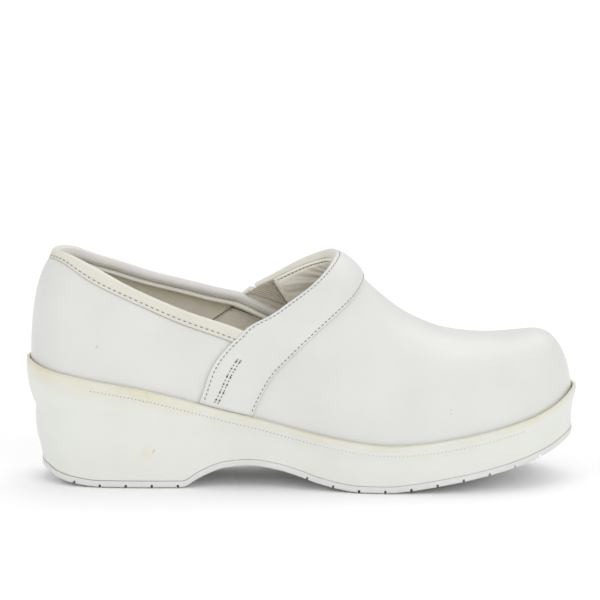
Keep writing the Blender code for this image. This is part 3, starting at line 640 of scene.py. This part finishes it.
# Lining: a skin on the inside of the wall, from the feather line to just under the edge
skin = {"top": 0.97, "levels": 60, "clear": 0.0001, "thickness": 0.0002}
points, facing = upperGrid(np.linspace(0, skin["top"], skin["levels"]), -(shoe["wall"] + skin["clear"]))
lining = gridPiece("liningLeather", points, -facing, closeRows=True)
applyModifier(lining, "SOLIDIFY", thickness=skin["thickness"], offset=-1)
cutWith(lining, cutter)
finishPiece(lining, liningLeather, (), 40)
print("lining made")

# Instep band: padded between its seams, folded over the throat's edge
band = {"leather": 0.0014, "puff": 0.0013, "stitchIn": 0.0014, "furrow": 0.00035, "furrowWidth": 0.0005,
        "fold": 0.0005, "beyond": 0.0006, "behindRim": 0.0012, "frontRound": 0.0026, "frontThin": 0.7,
        "skived": 0.0016, "thinnest": 0.0002, "clear": 0.0001, "wrapOver": 0.012, "steps": 300,
        # drop below the edge and depth under the last: down inside the throat, and back under the band
        "hem": ((0.0004, 0.0033), (0.0010, 0.0033), (0.0015, 0.0032), (0.0018, 0.0026)),
        "return": ((0.0004, 0.0024), (-0.0002, 0.0012), (-0.0002, 0.0))}


def aboveRim(line, steps):
    # from just inside the cup's rim on the outer side, over the instep, to the same on the inner side
    share = np.linspace(0, 1, 801)
    at = lastPoint(line(share))
    clear = share[at[:, 2] > rimTop(at[:, 0] / shoe["lastLength"]) - band["behindRim"]]
    return np.linspace(clear[0], clear[-1], steps + 1)


def bandOut(at, drop, length):
    # height of the band's face over the last at a distance below its rear edge
    share = np.clip(1 - drop / length, 0, 1)
    puff = band["puff"] * np.sin(np.pi * share)**0.7
    furrow = band["furrow"] * np.exp(-((drop - band["stitchIn"]) / band["furrowWidth"])**2)
    front = band["leather"] * band["frontThin"] * np.exp(-((length - drop) / band["frontRound"])**1.3)
    out = shoe["curvedFit"] + band["leather"] + puff - furrow - front
    above = np.clip((at[:, 2] - rimTop(at[:, 0] / shoe["lastLength"])) / band["skived"], 0, 1)
    return band["thinnest"] + (out - band["thinnest"]) * above**0.5


def bandRibs(steps):
    edgeShare = aboveRim(bandEdge, steps)
    foot, head = bandSeam(aboveRim(bandSeam, steps)), bandEdge(edgeShare)
    return edgeShare, foot, head, ribLengths(foot, head)


def bandRings():
    edgeShare, foot, head, length = bandRibs(band["steps"])
    edge, edgeNormal, upward = edgeFrame(foot, head, length)
    # 1 over the throat, 0 where the band's edge lies on the quarter
    wrap = np.clip(np.minimum(edgeShare - corners[0], corners[1] - edgeShare) / band["wrapOver"], 0, 1)
    rings = []
    # face, from the front seam to the rear edge
    for share in np.concatenate([np.linspace(0, 0.7, 22), 1 - 0.3 * np.linspace(1, 0, 30)[1:]**1.5]):
        at, normal = onRibs(foot, head, share)
        drop = np.maximum(length * (1 - share), band["fold"])
        rings.append(at + normal * bandOut(at, drop, length)[:, None])
    # over the edge and down inside
    top = bandOut(edge, np.full(len(foot), band["fold"]), length)
    bottom = band["clear"] - wrap * (shoe["wall"] + 0.0011)
    middle, half = (top + bottom) / 2, (top - bottom) / 2
    for a in np.radians(range(15, 180, 15)):
        out = middle + half * math.cos(a)
        rings.append(edge + upward * band["beyond"] * math.sin(a) + edgeNormal * out[:, None])
    for drop, deep in band["hem"]:
        at, normal = onRibs(foot, head, 1 - drop / length)
        rings.append(at + normal * (band["clear"] - wrap * deep)[:, None])
    # back along the wall's inner face, through its edge and under the band
    for drop, deep in band["return"]:
        rings.append(edge - upward * drop + edgeNormal * (band["clear"] - wrap * deep)[:, None])
    for share in (0.95, 0.8, 0.6, 0.4, 0.2, 0.0):
        at, normal = onRibs(foot, head, share)
        rings.append(at + normal * band["clear"])
    return np.stack(rings, axis=1)


foldRings = (54, 66)  # from the turn of the edge to the hem inside, which is binding leather
bandPiece = gridPiece("instepBand", bandRings(), closeColumns=True, caps=True, second=foldRings)
cutWith(bandPiece, cutter)
finishPiece(bandPiece, finishedLeather, ("instep_band",), 50, bindingLeather)
print("band made")

# Collar: binding folded over the quarter's edge, with the padded roll inside it
collar = {"leather": 0.0011, "drop": 0.0059, "roll": 0.0022, "rollIn": 0.0040, "rollDrop": 0.0002,
          "crown": 0.0025, "strip": 0.0036, "stripOut": 0.0027, "groove": 0.0029, "stitchUp": 0.0021,
          "lift": 0.0016, "liftAt": 0.115, "liftOver": 0.055, "furrow": 0.00035, "furrowWidth": 0.0005,
          "steps": 300, "tuckIn": 0.0042, "tuckOver": 0.07,
          "edgeShare": 0.75, "heelThin": 0.6, "heelOver": 0.10, "fullOver": 0.007}


def skived(shares, up):
    # share of the binding's thickness at a height above its lower edge; the heel's back is thinnest
    heel = np.exp(-((shares - 0.5) / collar["heelOver"])**2)
    return np.minimum(1.0, collar["edgeShare"] - collar["heelThin"] * heel + up / collar["fullOver"])


def collarProfile(shares, lift):
    # how far down the wall and how far out from it; lift raises the crown
    outer = shoe["fit"] + collar["leather"]
    thin = skived(shares, 0)
    profile = [(collar["drop"], 0.0001), (collar["drop"], 0.4 * outer * thin),
               (collar["drop"] - 0.0002, 0.8 * outer * thin)]
    for up in np.linspace(0.0005, collar["drop"], 20):
        furrow = collar["furrow"] * math.exp(-((up - collar["stitchUp"]) / collar["furrowWidth"])**2)
        profile.append((collar["drop"] - up, outer * skived(shares, up) - furrow))
    # over the crown
    inner = -(shoe["wall"] + collar["rollIn"])
    middle, half = (outer + inner) / 2, (outer - inner) / 2
    for a in np.radians(range(12, 180, 12)):
        profile.append((-(collar["crown"] + lift) * math.sin(a)**0.8, middle + half * math.cos(a)))
    # round the roll into the fold, and round the strip under it
    for a in np.radians(range(0, 100, 10)):
        profile.append((collar["rollDrop"] + collar["roll"] * math.sin(a),
                        inner + (collar["rollIn"] - collar["groove"]) * (1 - math.cos(a))))
    bottom = collar["rollDrop"] + collar["roll"]
    for a in np.radians(range(10, 190, 20)):
        profile.append((bottom + collar["strip"] * (0.5 - 0.5 * math.cos(a)),
                        -(shoe["wall"] + collar["groove"] - 0.0004 + collar["stripOut"] * math.sin(a))))
    # back up the wall's inner face, through its edge and under the binding
    profile += [(bottom + collar["strip"] + 0.0002, -(shoe["wall"] + 0.0003)),
                (0.003, -(shoe["wall"] + 0.0001)), (-0.0002, -0.0012), (0.003, 0.0)]
    return profile


def collarFrames(shares):
    # ribs under the collar; past its corners it is tucked in under the band
    foot, head = edgeOfDome(bandFootAngle * (1 - 2 * shares)), collarLine(shares)
    beyond = np.maximum(np.maximum(-shares, shares - 1), 0)
    gone = np.clip(beyond / collar["tuckOver"], 0, 1)
    tuck = -collar["tuckIn"] * gone * (2 - gone)
    return foot, head, tuck


def collarRings():
    shares = np.linspace(collarReach[0] + 0.003, collarReach[1] - 0.003, collar["steps"] + 1)
    foot, head, tuck = collarFrames(shares)
    length = ribLengths(foot, head)
    edge, edgeNormal, upward = edgeFrame(foot, head, length)
    # the crown stands higher at the rear of the outer side
    near = np.clip(-edge[:, 1] / 0.012, 0, 1)
    away = (edge[:, 0] / shoe["lastLength"] - collar["liftAt"]) / collar["liftOver"]
    rings = []
    for drop, out in collarProfile(shares, collar["lift"] * near * np.exp(-away**2)):
        if np.max(drop) <= 0:
            at, normal = edge - upward * np.broadcast_to(drop, len(edge))[:, None], edgeNormal
        else:
            at, normal = onRibs(foot, head, 1 - drop / length)
        rings.append(at + normal * (out + tuck)[:, None])
    return np.stack(rings, axis=1)


rollFrom = 3 + 20 + 6  # the roll's own lining starts past the top of the crown
# the roll's part of the collar takes the greyer leather, which holds painted shade of its inner side
collarPiece = gridPiece("collarBinding", collarRings(), closeColumns=True, caps=True,
                        second=(rollFrom, rollFrom + 18))
finishPiece(collarPiece, bindingLeather, ("collar_binding",), 50, rollShadedLeather)
print("collar made")

# Padded lining under the throat, with the soft folds that the foot presses into it
throatPad = {"from": 0.17, "to": 0.742, "lean": 0.066, "deep": 0.030, "puff": 0.0018, "fold": 0.0004,
             "foldPitch": 0.0105, "endOver": 0.004, "stitchDrop": 0.0021, "stitchDepth": 0.0006,
             "inward": 0.0018, "hemInward": 0.0002, "hem": 0.0007}


def throatPadRings():
    rings = []
    for drop in np.concatenate([[0.0006, 0.0008], np.linspace(0.0014, throatPad["deep"], 44)]):
        share = drop / throatPad["deep"]
        shares = np.linspace(throatPad["from"], throatPad["to"] + throatPad["lean"] * share, 200)
        foot, head = bandSeam(shares), bandEdge(shares)
        length = ribLengths(foot, head)
        along = np.concatenate([[0], np.cumsum(np.linalg.norm(np.diff(lastPoint(head), axis=0), axis=1))])
        at, normal = onRibs(foot, head, 1 - drop / length)
        ends = np.clip(np.minimum(along, along[-1] - along) / throatPad["endOver"], 0, 1)**0.5
        puff = throatPad["puff"] * math.sin(math.pi * min(share * 1.15, 1))**0.6 * ends
        phase = along / throatPad["foldPitch"] + 1.6 * share + 0.5 * np.sin(along * 140)
        fold = throatPad["fold"] * np.cos(2 * math.pi * phase)**3 * math.sin(math.pi * share) * ends
        stitched = throatPad["stitchDepth"] * math.exp(-((drop - throatPad["stitchDrop"]) / 0.0006)**2)
        base = throatPad["hemInward" if drop < throatPad["hem"] else "inward"]
        rings.append(at - normal * (shoe["wall"] + base + puff + fold - stitched)[:, None])
    return np.stack(rings), -lastNormal(head)


points, facing = throatPadRings()
padPiece = gridPiece("throatPad", points, facing)
finishPiece(padPiece, padLeather, ())

# The lining's front panel, with a folded corner below the collar's run, and the seam in front of the gore
panel = {"from": 0.996, "lean": 0.036, "top": 0.0068, "deep": 0.030, "thickness": 0.0014, "edge": 0.0011,
         "topEdge": 0.8, "clear": 0.0002, "rows": 40, "columns": 90}


def panelRings():
    share = np.linspace(0, 1, panel["columns"])
    rings = []
    for row in np.concatenate([[0], np.linspace(0, 1, panel["rows"])]):
        start = panel["from"] - panel["lean"] * row
        shares = start + (collarReach[1] - 0.004 - start) * share
        foot, head = collarFrames(shares)[:2]
        drop = panel["top"] + (panel["deep"] - panel["top"]) * row
        at, normal = onRibs(foot, head, 1 - drop / ribLengths(foot, head))
        away = np.minimum(share * 60, 1) * min(1.0, len(rings))
        raised = panel["edge"] * (np.exp(-(share * panel["columns"] - 1.2)**2 / 2)
                                  + panel["topEdge"] * math.exp(-(row * panel["rows"] - 1.5)**2 / 4))
        depth = shoe["wall"] + panel["clear"] + (panel["thickness"] + raised) * away
        rings.append(at - normal * depth[:, None])
    return np.stack(rings), -normal


points, facing = panelRings()
panelPiece = gridPiece("liningPanel", points, facing)
finishPiece(panelPiece, panelLeather, ())

seam = {"ahead": 0.0108, "width": 0.0030, "height": 0.0022, "lean": 0.62, "top": 0.0004, "deep": 0.026,
        "inward": 0.0017, "rows": 60, "columns": 13}
across = np.linspace(-seam["ahead"] - seam["width"], -seam["ahead"], seam["columns"])
bulge = seam["height"] * np.sin(np.linspace(0, math.pi, seam["columns"]))**0.7
points, facing = stripOverSlit(across, np.linspace(seam["top"], seam["deep"], seam["rows"]),
                               -(shoe["wall"] + seam["inward"]) - bulge, seam["lean"])
seamPiece = gridPiece("goreSeam", points, -facing)
goreSeamLine, goreSeamFacing = points[2:, -1], -facing[2:, -1]
finishPiece(seamPiece, padLeather, ())
print("inner pieces made")

# Elastic gore behind the slit, ribbed along the throat
gore = {"thickness": 0.0012, "ahead": 0.0130, "behind": 0.0030, "top": 0.001, "drop": 0.024,
        "ribPitch": 0.00125, "ribHeight": 0.00016}
across = np.linspace(-gore["ahead"], gore["behind"], 130)
ribbing = gore["ribHeight"] * np.cos(2 * math.pi * across / gore["ribPitch"])
points, facing = stripOverSlit(across, np.linspace(gore["top"], gore["drop"], 40),
                               -(shoe["wall"] + shoe["curvedFit"] + gore["thickness"]) - ribbing)
gorePiece = gridPiece("goreElastic", points, -facing)
applyModifier(gorePiece, "SOLIDIFY", thickness=gore["thickness"] - 0.0002, offset=-1)
finishPiece(gorePiece, goreElastic, ("gore",), 60)
print("gore made")

# Sole unit
soleSize = {"around": 420, "up": 64, "under": (0.012, 0.004, 0.0006), "lipRound": 0.95, "lipHeight": 0.6,
            "aboveTread": 0.00003}


def sideInset(angle, height):
    station = (1 - np.cos(angle)) / 2
    outward = feather(angle, 0.0)[1]
    back = np.clip(-outward[:, 0], 0, 1)**2
    heel = np.clip((0.45 - station) / 0.15, 0, 1)
    side = wallOf["side"](height) * (shoe["heelSideTaper"] * heel + shoe["wallTaper"] * (1 - heel))
    return back * wallOf["back"](height) * shoe["heelTaper"] + (1 - back) * side


def soleRing(angle, out, heightOf):
    at = feather(angle, out)[0]
    return np.column_stack([at, heightOf(at[:, 0] / shoe["lastLength"])])


def soleBase(station):
    return ground(station) + shoe["outsoleThickness"] + soleSize["aboveTread"]


def wallPoint(angle, height):
    return soleRing(angle, soleMargin - sideInset(angle, height),
                    lambda s: soleBase(s) * (1 - height) + rimTop(s) * height)


angle = np.linspace(0, 2 * math.pi, soleSize["around"], endpoint=False)
rings = [soleRing(angle, soleMargin - sideInset(angle, 0.0) - inward, soleBase)
         for inward in soleSize["under"]]
rings += [wallPoint(angle, height) for height in np.linspace(0.006, 0.985, soleSize["up"])]
# over the rim's lip and down to the cup's floor
lip = shoe["rimWall"] / 2
for a in np.radians(range(30, 180, 20)):
    rings.append(soleRing(angle, shoe["curvedFit"] + lip + lip * math.cos(a) * soleSize["lipRound"],
                          lambda s: rimTop(s) - lip * soleSize["lipHeight"] * (1 - math.sin(a))))
rings += [soleRing(angle, shoe["curvedFit"], lambda s: rimTop(s) - 0.002),
          soleRing(angle, shoe["curvedFit"], cupFloor), soleRing(angle, -0.02, cupFloor)]
outward = np.column_stack([feather(angle, 0.0)[1], np.zeros(len(angle))])
solePiece = gridPiece("soleUnit", np.stack(rings), outward, closeColumns=True)
finishPiece(solePiece, mouldedSole, ("midsole",), 50)
print("sole made")

# Outsole: its lower edge is rolled up off the floor, and bars cut the grooves across the tread
tread = {"ledge": 0.0004, "rollIn": 0.0036, "rollUp": 0.0012, "stations": 230,
         "groovePitch": 0.0129, "grooveWidth": 0.0011, "grooveDepth": 0.0018,
         "heelStart": 0.0227, "heelGrooves": 5, "frontStart": 0.1379, "frontGrooves": 10}


def outsoleRings():
    halves = []
    halfTurn = np.linspace(0, math.pi, tread["stations"])
    for turned in (halfTurn, 2 * math.pi - halfTurn):
        edge = soleMargin + tread["ledge"] - sideInset(turned, 0.0)
        half = [soleRing(turned, edge, lambda s: ground(s) + shoe["outsoleThickness"])]
        for a in np.radians(range(0, 91, 10)):
            half.append(soleRing(turned, edge - tread["rollIn"] * (1 - math.cos(a)),
                                 lambda s: ground(s) + tread["rollUp"] * (1 - math.sin(a))))
        halves.append(half)
    return np.stack(halves[0] + halves[1][::-1], axis=1)


def grooveCutter():
    bars = []
    for part in ("heel", "front"):
        for i in range(tread[part + "Grooves"]):
            x = tread[part + "Start"] + i * tread["groovePitch"]
            station, step = x / shoe["lastLength"], 1e-4
            slope = float(ground(station + step) - ground(station - step)) / (2 * step * shoe["lastLength"])
            bpy.ops.mesh.primitive_cube_add(
                size=1, location=(x - origin[0], -origin[1], float(ground(station)) - origin[2]),
                rotation=(0, -math.atan(slope), 0),
                scale=(tread["grooveWidth"], 2 * shoe["ballWidth"], 2 * tread["grooveDepth"]))
            bars.append(bpy.context.object)
    for bar in bars:
        bar.select_set(True)
    bpy.ops.object.join()
    return bpy.context.object


treadPiece = gridPiece("outsoleTread", outsoleRings(), closeColumns=True, caps=True)
grooveBars = grooveCutter()
cutWith(treadPiece, grooveBars)
bpy.data.objects.remove(grooveBars)
finishPiece(treadPiece, outsoleRubber, ("outsole",), 40)
print("outsole made")

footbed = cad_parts["insole"]
footbed.data.materials.clear()
footbed.data.materials.append(insoleFabric)

# Stitches, and the lines of painted shade along seams: one thread stitch is modelled, then copied along each
# seam
# Pitch of each kind, then length and radius of one stitch, and how far it stands out as a share of its radius
stitches = {
    "band": (0.0023, 0.0016, 0.00022, 0.25), "tack": (0.0017, 0.0010, 0.00027, 0.25),
    "knot": (0.0043, 0.0011, 0.00042, 0.25), "collar": (0.0029, 0.0017, 0.00022, 0.25),
    "collarLipShade": (0.0015, 0.0030, 0.00016, 0.25), "roll": (0.0023, 0.0014, 0.00025, 0.25),
    "pad": (0.0021, 0.0014, 0.00026, 0.25), "goreEdgeShade": (0.0018, 0.0024, 0.00030, 0.6),
    "panelEdgeShade": (0.0018, 0.0024, 0.00034, 0.6), "dot": (0.0019, 0.0006, 0.00026, 0.3),
}


def stitchShape():
    bpy.ops.mesh.primitive_uv_sphere_add(segments=8, ring_count=7, radius=1)
    ball = bpy.context.object
    vertices = np.array([v.co[:] for v in ball.data.vertices])[:, [2, 1, 0]]
    faces = [tuple(p.vertices) for p in ball.data.polygons]
    bpy.data.objects.remove(ball)
    return vertices, faces


stitchVertices, stitchFaces = stitchShape()


def stitchRow(name, kind, path, normals, slotName, material=greyThread):
    pitch, length, radius, proud = stitches[kind]
    steps = np.linalg.norm(np.diff(path, axis=0), axis=1)
    along = np.concatenate([[0], np.cumsum(steps)])
    at = np.arange(pitch / 2, along[-1], pitch)

    def follow(line, ahead=0.0):
        return np.stack([np.interp(at + ahead, along, line[:, i]) for i in range(3)], axis=-1)

    place, up = follow(path), unit(follow(normals))
    run = unit(follow(path, pitch * 0.2) - follow(path, -pitch * 0.2))
    side = unit(np.cross(up, run))
    # the ends of a stitch dip into the leather
    bent = stitchVertices * np.array([length / 2, radius, radius])
    bent[:, 2] -= radius * np.abs(bent[:, 0] / (length / 2))**3
    vertices, faces = [], []
    for i in range(len(at)):
        world = (place[i] + bent[:, :1] * run[i] + bent[:, 1:2] * side[i]
                 + (bent[:, 2:] + radius * proud) * up[i])
        faces += [tuple(v + len(vertices) * len(stitchVertices) for v in f) for f in stitchFaces]
        vertices.append(world - origin)
    mesh = bpy.data.meshes.new(name)
    mesh.from_pydata(np.concatenate(vertices).tolist(), [], faces)
    thing = bpy.data.objects.new(name, mesh)
    bpy.context.scene.collection.objects.link(thing)
    body = bmesh.new()
    body.from_mesh(mesh)
    bmesh.ops.recalc_face_normals(body, faces=body.faces)
    body.to_mesh(mesh)
    body.free()
    mesh.shade_smooth()
    return finishPiece(thing, material, ())


def bandPath(drop, first, last, front=False):
    # a line on the band's face at a distance from its rear edge or front seam, between two shares of its run
    steps = 400
    foot, head, length = bandRibs(steps)[1:]
    share = drop / length if front else 1 - drop / length
    at, normal = onRibs(foot, head, share)
    out = bandOut(at, length * (1 - share), length)
    keep = at[:, 2] > rimTop(at[:, 0] / shoe["lastLength"]) + 0.0018
    keep &= (np.arange(steps + 1) >= first * steps) & (np.arange(steps + 1) <= last * steps)
    return (at + normal * out[:, None])[keep], normal[keep]


for part, first, last in (("Outer", 0.0, 0.775), ("Inner", 0.795, 1.0)):
    stitchRow("bandEdgeStitches" + part, "band", *bandPath(band["stitchIn"], first, last), "white_leather")
stitchRow("bandFrontStitches", "band", *bandPath(0.0009, 0.0, 1.0, front=True), "white_leather")
tack = {"rows": (0.0059, 0.0077), "spread": 0.0024, "bow": 0.0010, "reach": 0.096, "knots": (-60, 50)}
for index, start in enumerate(tack["rows"]):
    run = np.clip(np.linspace(0, 1 / tack["reach"], 401), 0, 1)
    drop = start + tack["spread"] * run + tack["bow"] * np.sin(np.pi * run)
    path, normals = bandPath(drop, 0.0, tack["reach"])
    stitchRow("bandTackStitches%d" % index, "tack", path, normals, "white_leather")
    knots = slice(*(len(path) // 2 + offset for offset in tack["knots"]))
    stitchRow("bandTackKnots%d" % index, "knot", path[knots], normals[knots], "white_leather")

shares = np.linspace(0.0, 1.0, 600)
foot, head = collarFrames(shares)[:2]
length = ribLengths(foot, head)
at, normal = onRibs(foot, head, 1 - (collar["drop"] - collar["stitchUp"]) / length)
out = (shoe["fit"] + collar["leather"]) * skived(shares, collar["stitchUp"]) - collar["furrow"] * 0.8
stitchRow("collarStitches", "collar", at + normal * out[:, None], normal, "binding_leather")
# a light grey line of painted shade just under the binding's lower edge, where its lip would shade the
# quarter
at, under = onRibs(foot, head, 1 - (collar["drop"] + 0.0001) / length)
stitchRow("collarLipPaintedShade", "collarLipShade", at + under * 0.0001, normal, "binding_leather", bindingLipShade)
foot, head, tuck = collarFrames(np.linspace(0.52, 1.06, 500))
drop = collar["rollDrop"] + collar["roll"] + 0.0001
at, normal = onRibs(foot, head, 1 - drop / ribLengths(foot, head))
path = at - normal * (shoe["wall"] + collar["groove"] - tuck)[:, None]
stitchRow("rollStitches", "roll", path, -normal, "binding_leather")

padRows, padFacing = throatPadRings()
stitchRow("padStitches", "pad", padRows[3], padFacing, "binding_leather")
# dark lines of painted shade along the edge of the gore seam's fold and along the panel's folded edges
stitchRow("goreSeamPaintedShade", "goreEdgeShade", goreSeamLine, goreSeamFacing, "binding_leather", seamShade)
panelRows, panelFacing = panelRings()
for part, line in (("Front", panelRows[:, 2]), ("Top", panelRows[2])):
    stitchRow("panelSeamPaintedShade" + part, "panelEdgeShade", line, np.broadcast_to(panelFacing[0], line.shape),
              "binding_leather", seamShade)

# Dots: angles round the sole at which each run starts and ends, from the heel's back over the outer side
dots = {"below": 0.0053, "runs": ((0.69, 1.62, dotShade), (1.62, 2.50, dotPale), (3.78, 4.66, dotPale),
                                  (4.66, 5.59, dotShade))}
for index, (first, last, material) in enumerate(dots["runs"]):
    angle = np.linspace(first, last, 500)
    station = (1 - np.cos(angle)) / 2
    height = 1 - dots["below"] / (rimTop(station) - soleBase(station))
    path = np.concatenate([wallPoint(angle[i:i + 1], height[i]) for i in range(len(angle))])
    outward = np.column_stack([feather(angle, 0.0)[1], np.zeros(len(angle))])
    stitchRow("soleDots%d" % index, "dot", path, outward, "moulded_sole", material)
print("stitches made")

bpy.data.objects.remove(cutter)

# Floor, light and camera
studio = {"floor": 12, "behind": 2, "paint": (0.97, 0.97, 0.98, 1), "horizon": 0.70, "overhead": 0.76,
          # name, direction, degrees across, strength
          "lights": (("frontLight", (0.62, -0.80, 0.40), 60, 0.74),
                     ("heelLight", (-0.90, -0.60, 0.50), 50, 0.42),
                     ("backLight", (0.25, 0.60, 1.10), 50, 0.78))}
bpy.ops.mesh.primitive_plane_add(size=studio["floor"], location=(0, studio["behind"], 0))
floor = bpy.context.object
floor.name = "floor"
# matt paint without any shine: one even, pale field
floorPaint, _, floorShader = startMaterial("white_floor_paint", 0.9)
floorShader.inputs["Base Color"].default_value = studio["paint"]
floorShader.inputs["Specular IOR Level"].default_value = 0.0
floor.data.materials.append(floorPaint)

world = bpy.data.worlds.new("studio")
bpy.context.scene.world = world
world.use_nodes = True
sky = world.node_tree.nodes["Background"]
direction = addNode(world.node_tree, "TexCoord").outputs["Generated"]
upward = addNode(world.node_tree, "SeparateXYZ", links={"Vector": direction}).outputs["Z"]
glow = addNode(world.node_tree, "MapRange", {"To Min": studio["horizon"], "To Max": studio["overhead"]},
               {"Value": upward})
world.node_tree.links.new(glow.outputs["Result"], sky.inputs["Strength"])
sky.inputs["Color"].default_value = (1, 1, 1, 1)


def softLight(name, toward, spread, strength):
    # a very wide sun stands for a softbox, and lights the whole floor evenly
    lamp = bpy.data.lights.new(name, "SUN")
    lamp.energy, lamp.angle = strength, math.radians(spread)
    thing = bpy.data.objects.new(name, lamp)
    thing.location = toward
    thing.rotation_euler = Vector(toward).to_track_quat("Z", "Y").to_euler()
    bpy.context.scene.collection.objects.link(thing)


for light in studio["lights"]:
    softLight(*light)

view = {"distance": 1.8, "elevation": 9.0, "target": (0.1347, 0.0, 0.0890), "across": 0.300, "sensor": 36}
elevation = math.radians(view["elevation"])
target = Vector(np.array(view["target"]) - origin)
camera = bpy.data.objects.new("camera", bpy.data.cameras.new("camera"))
camera.location = target + view["distance"] * Vector((0, -math.cos(elevation), math.sin(elevation)))
camera.rotation_euler = (math.pi / 2 - elevation, 0, 0)
camera.data.sensor_width = view["sensor"]
camera.data.lens = view["sensor"] * view["distance"] / view["across"]
bpy.context.scene.collection.objects.link(camera)
bpy.context.scene.camera = camera
bpy.context.scene.view_settings.view_transform = "Standard"
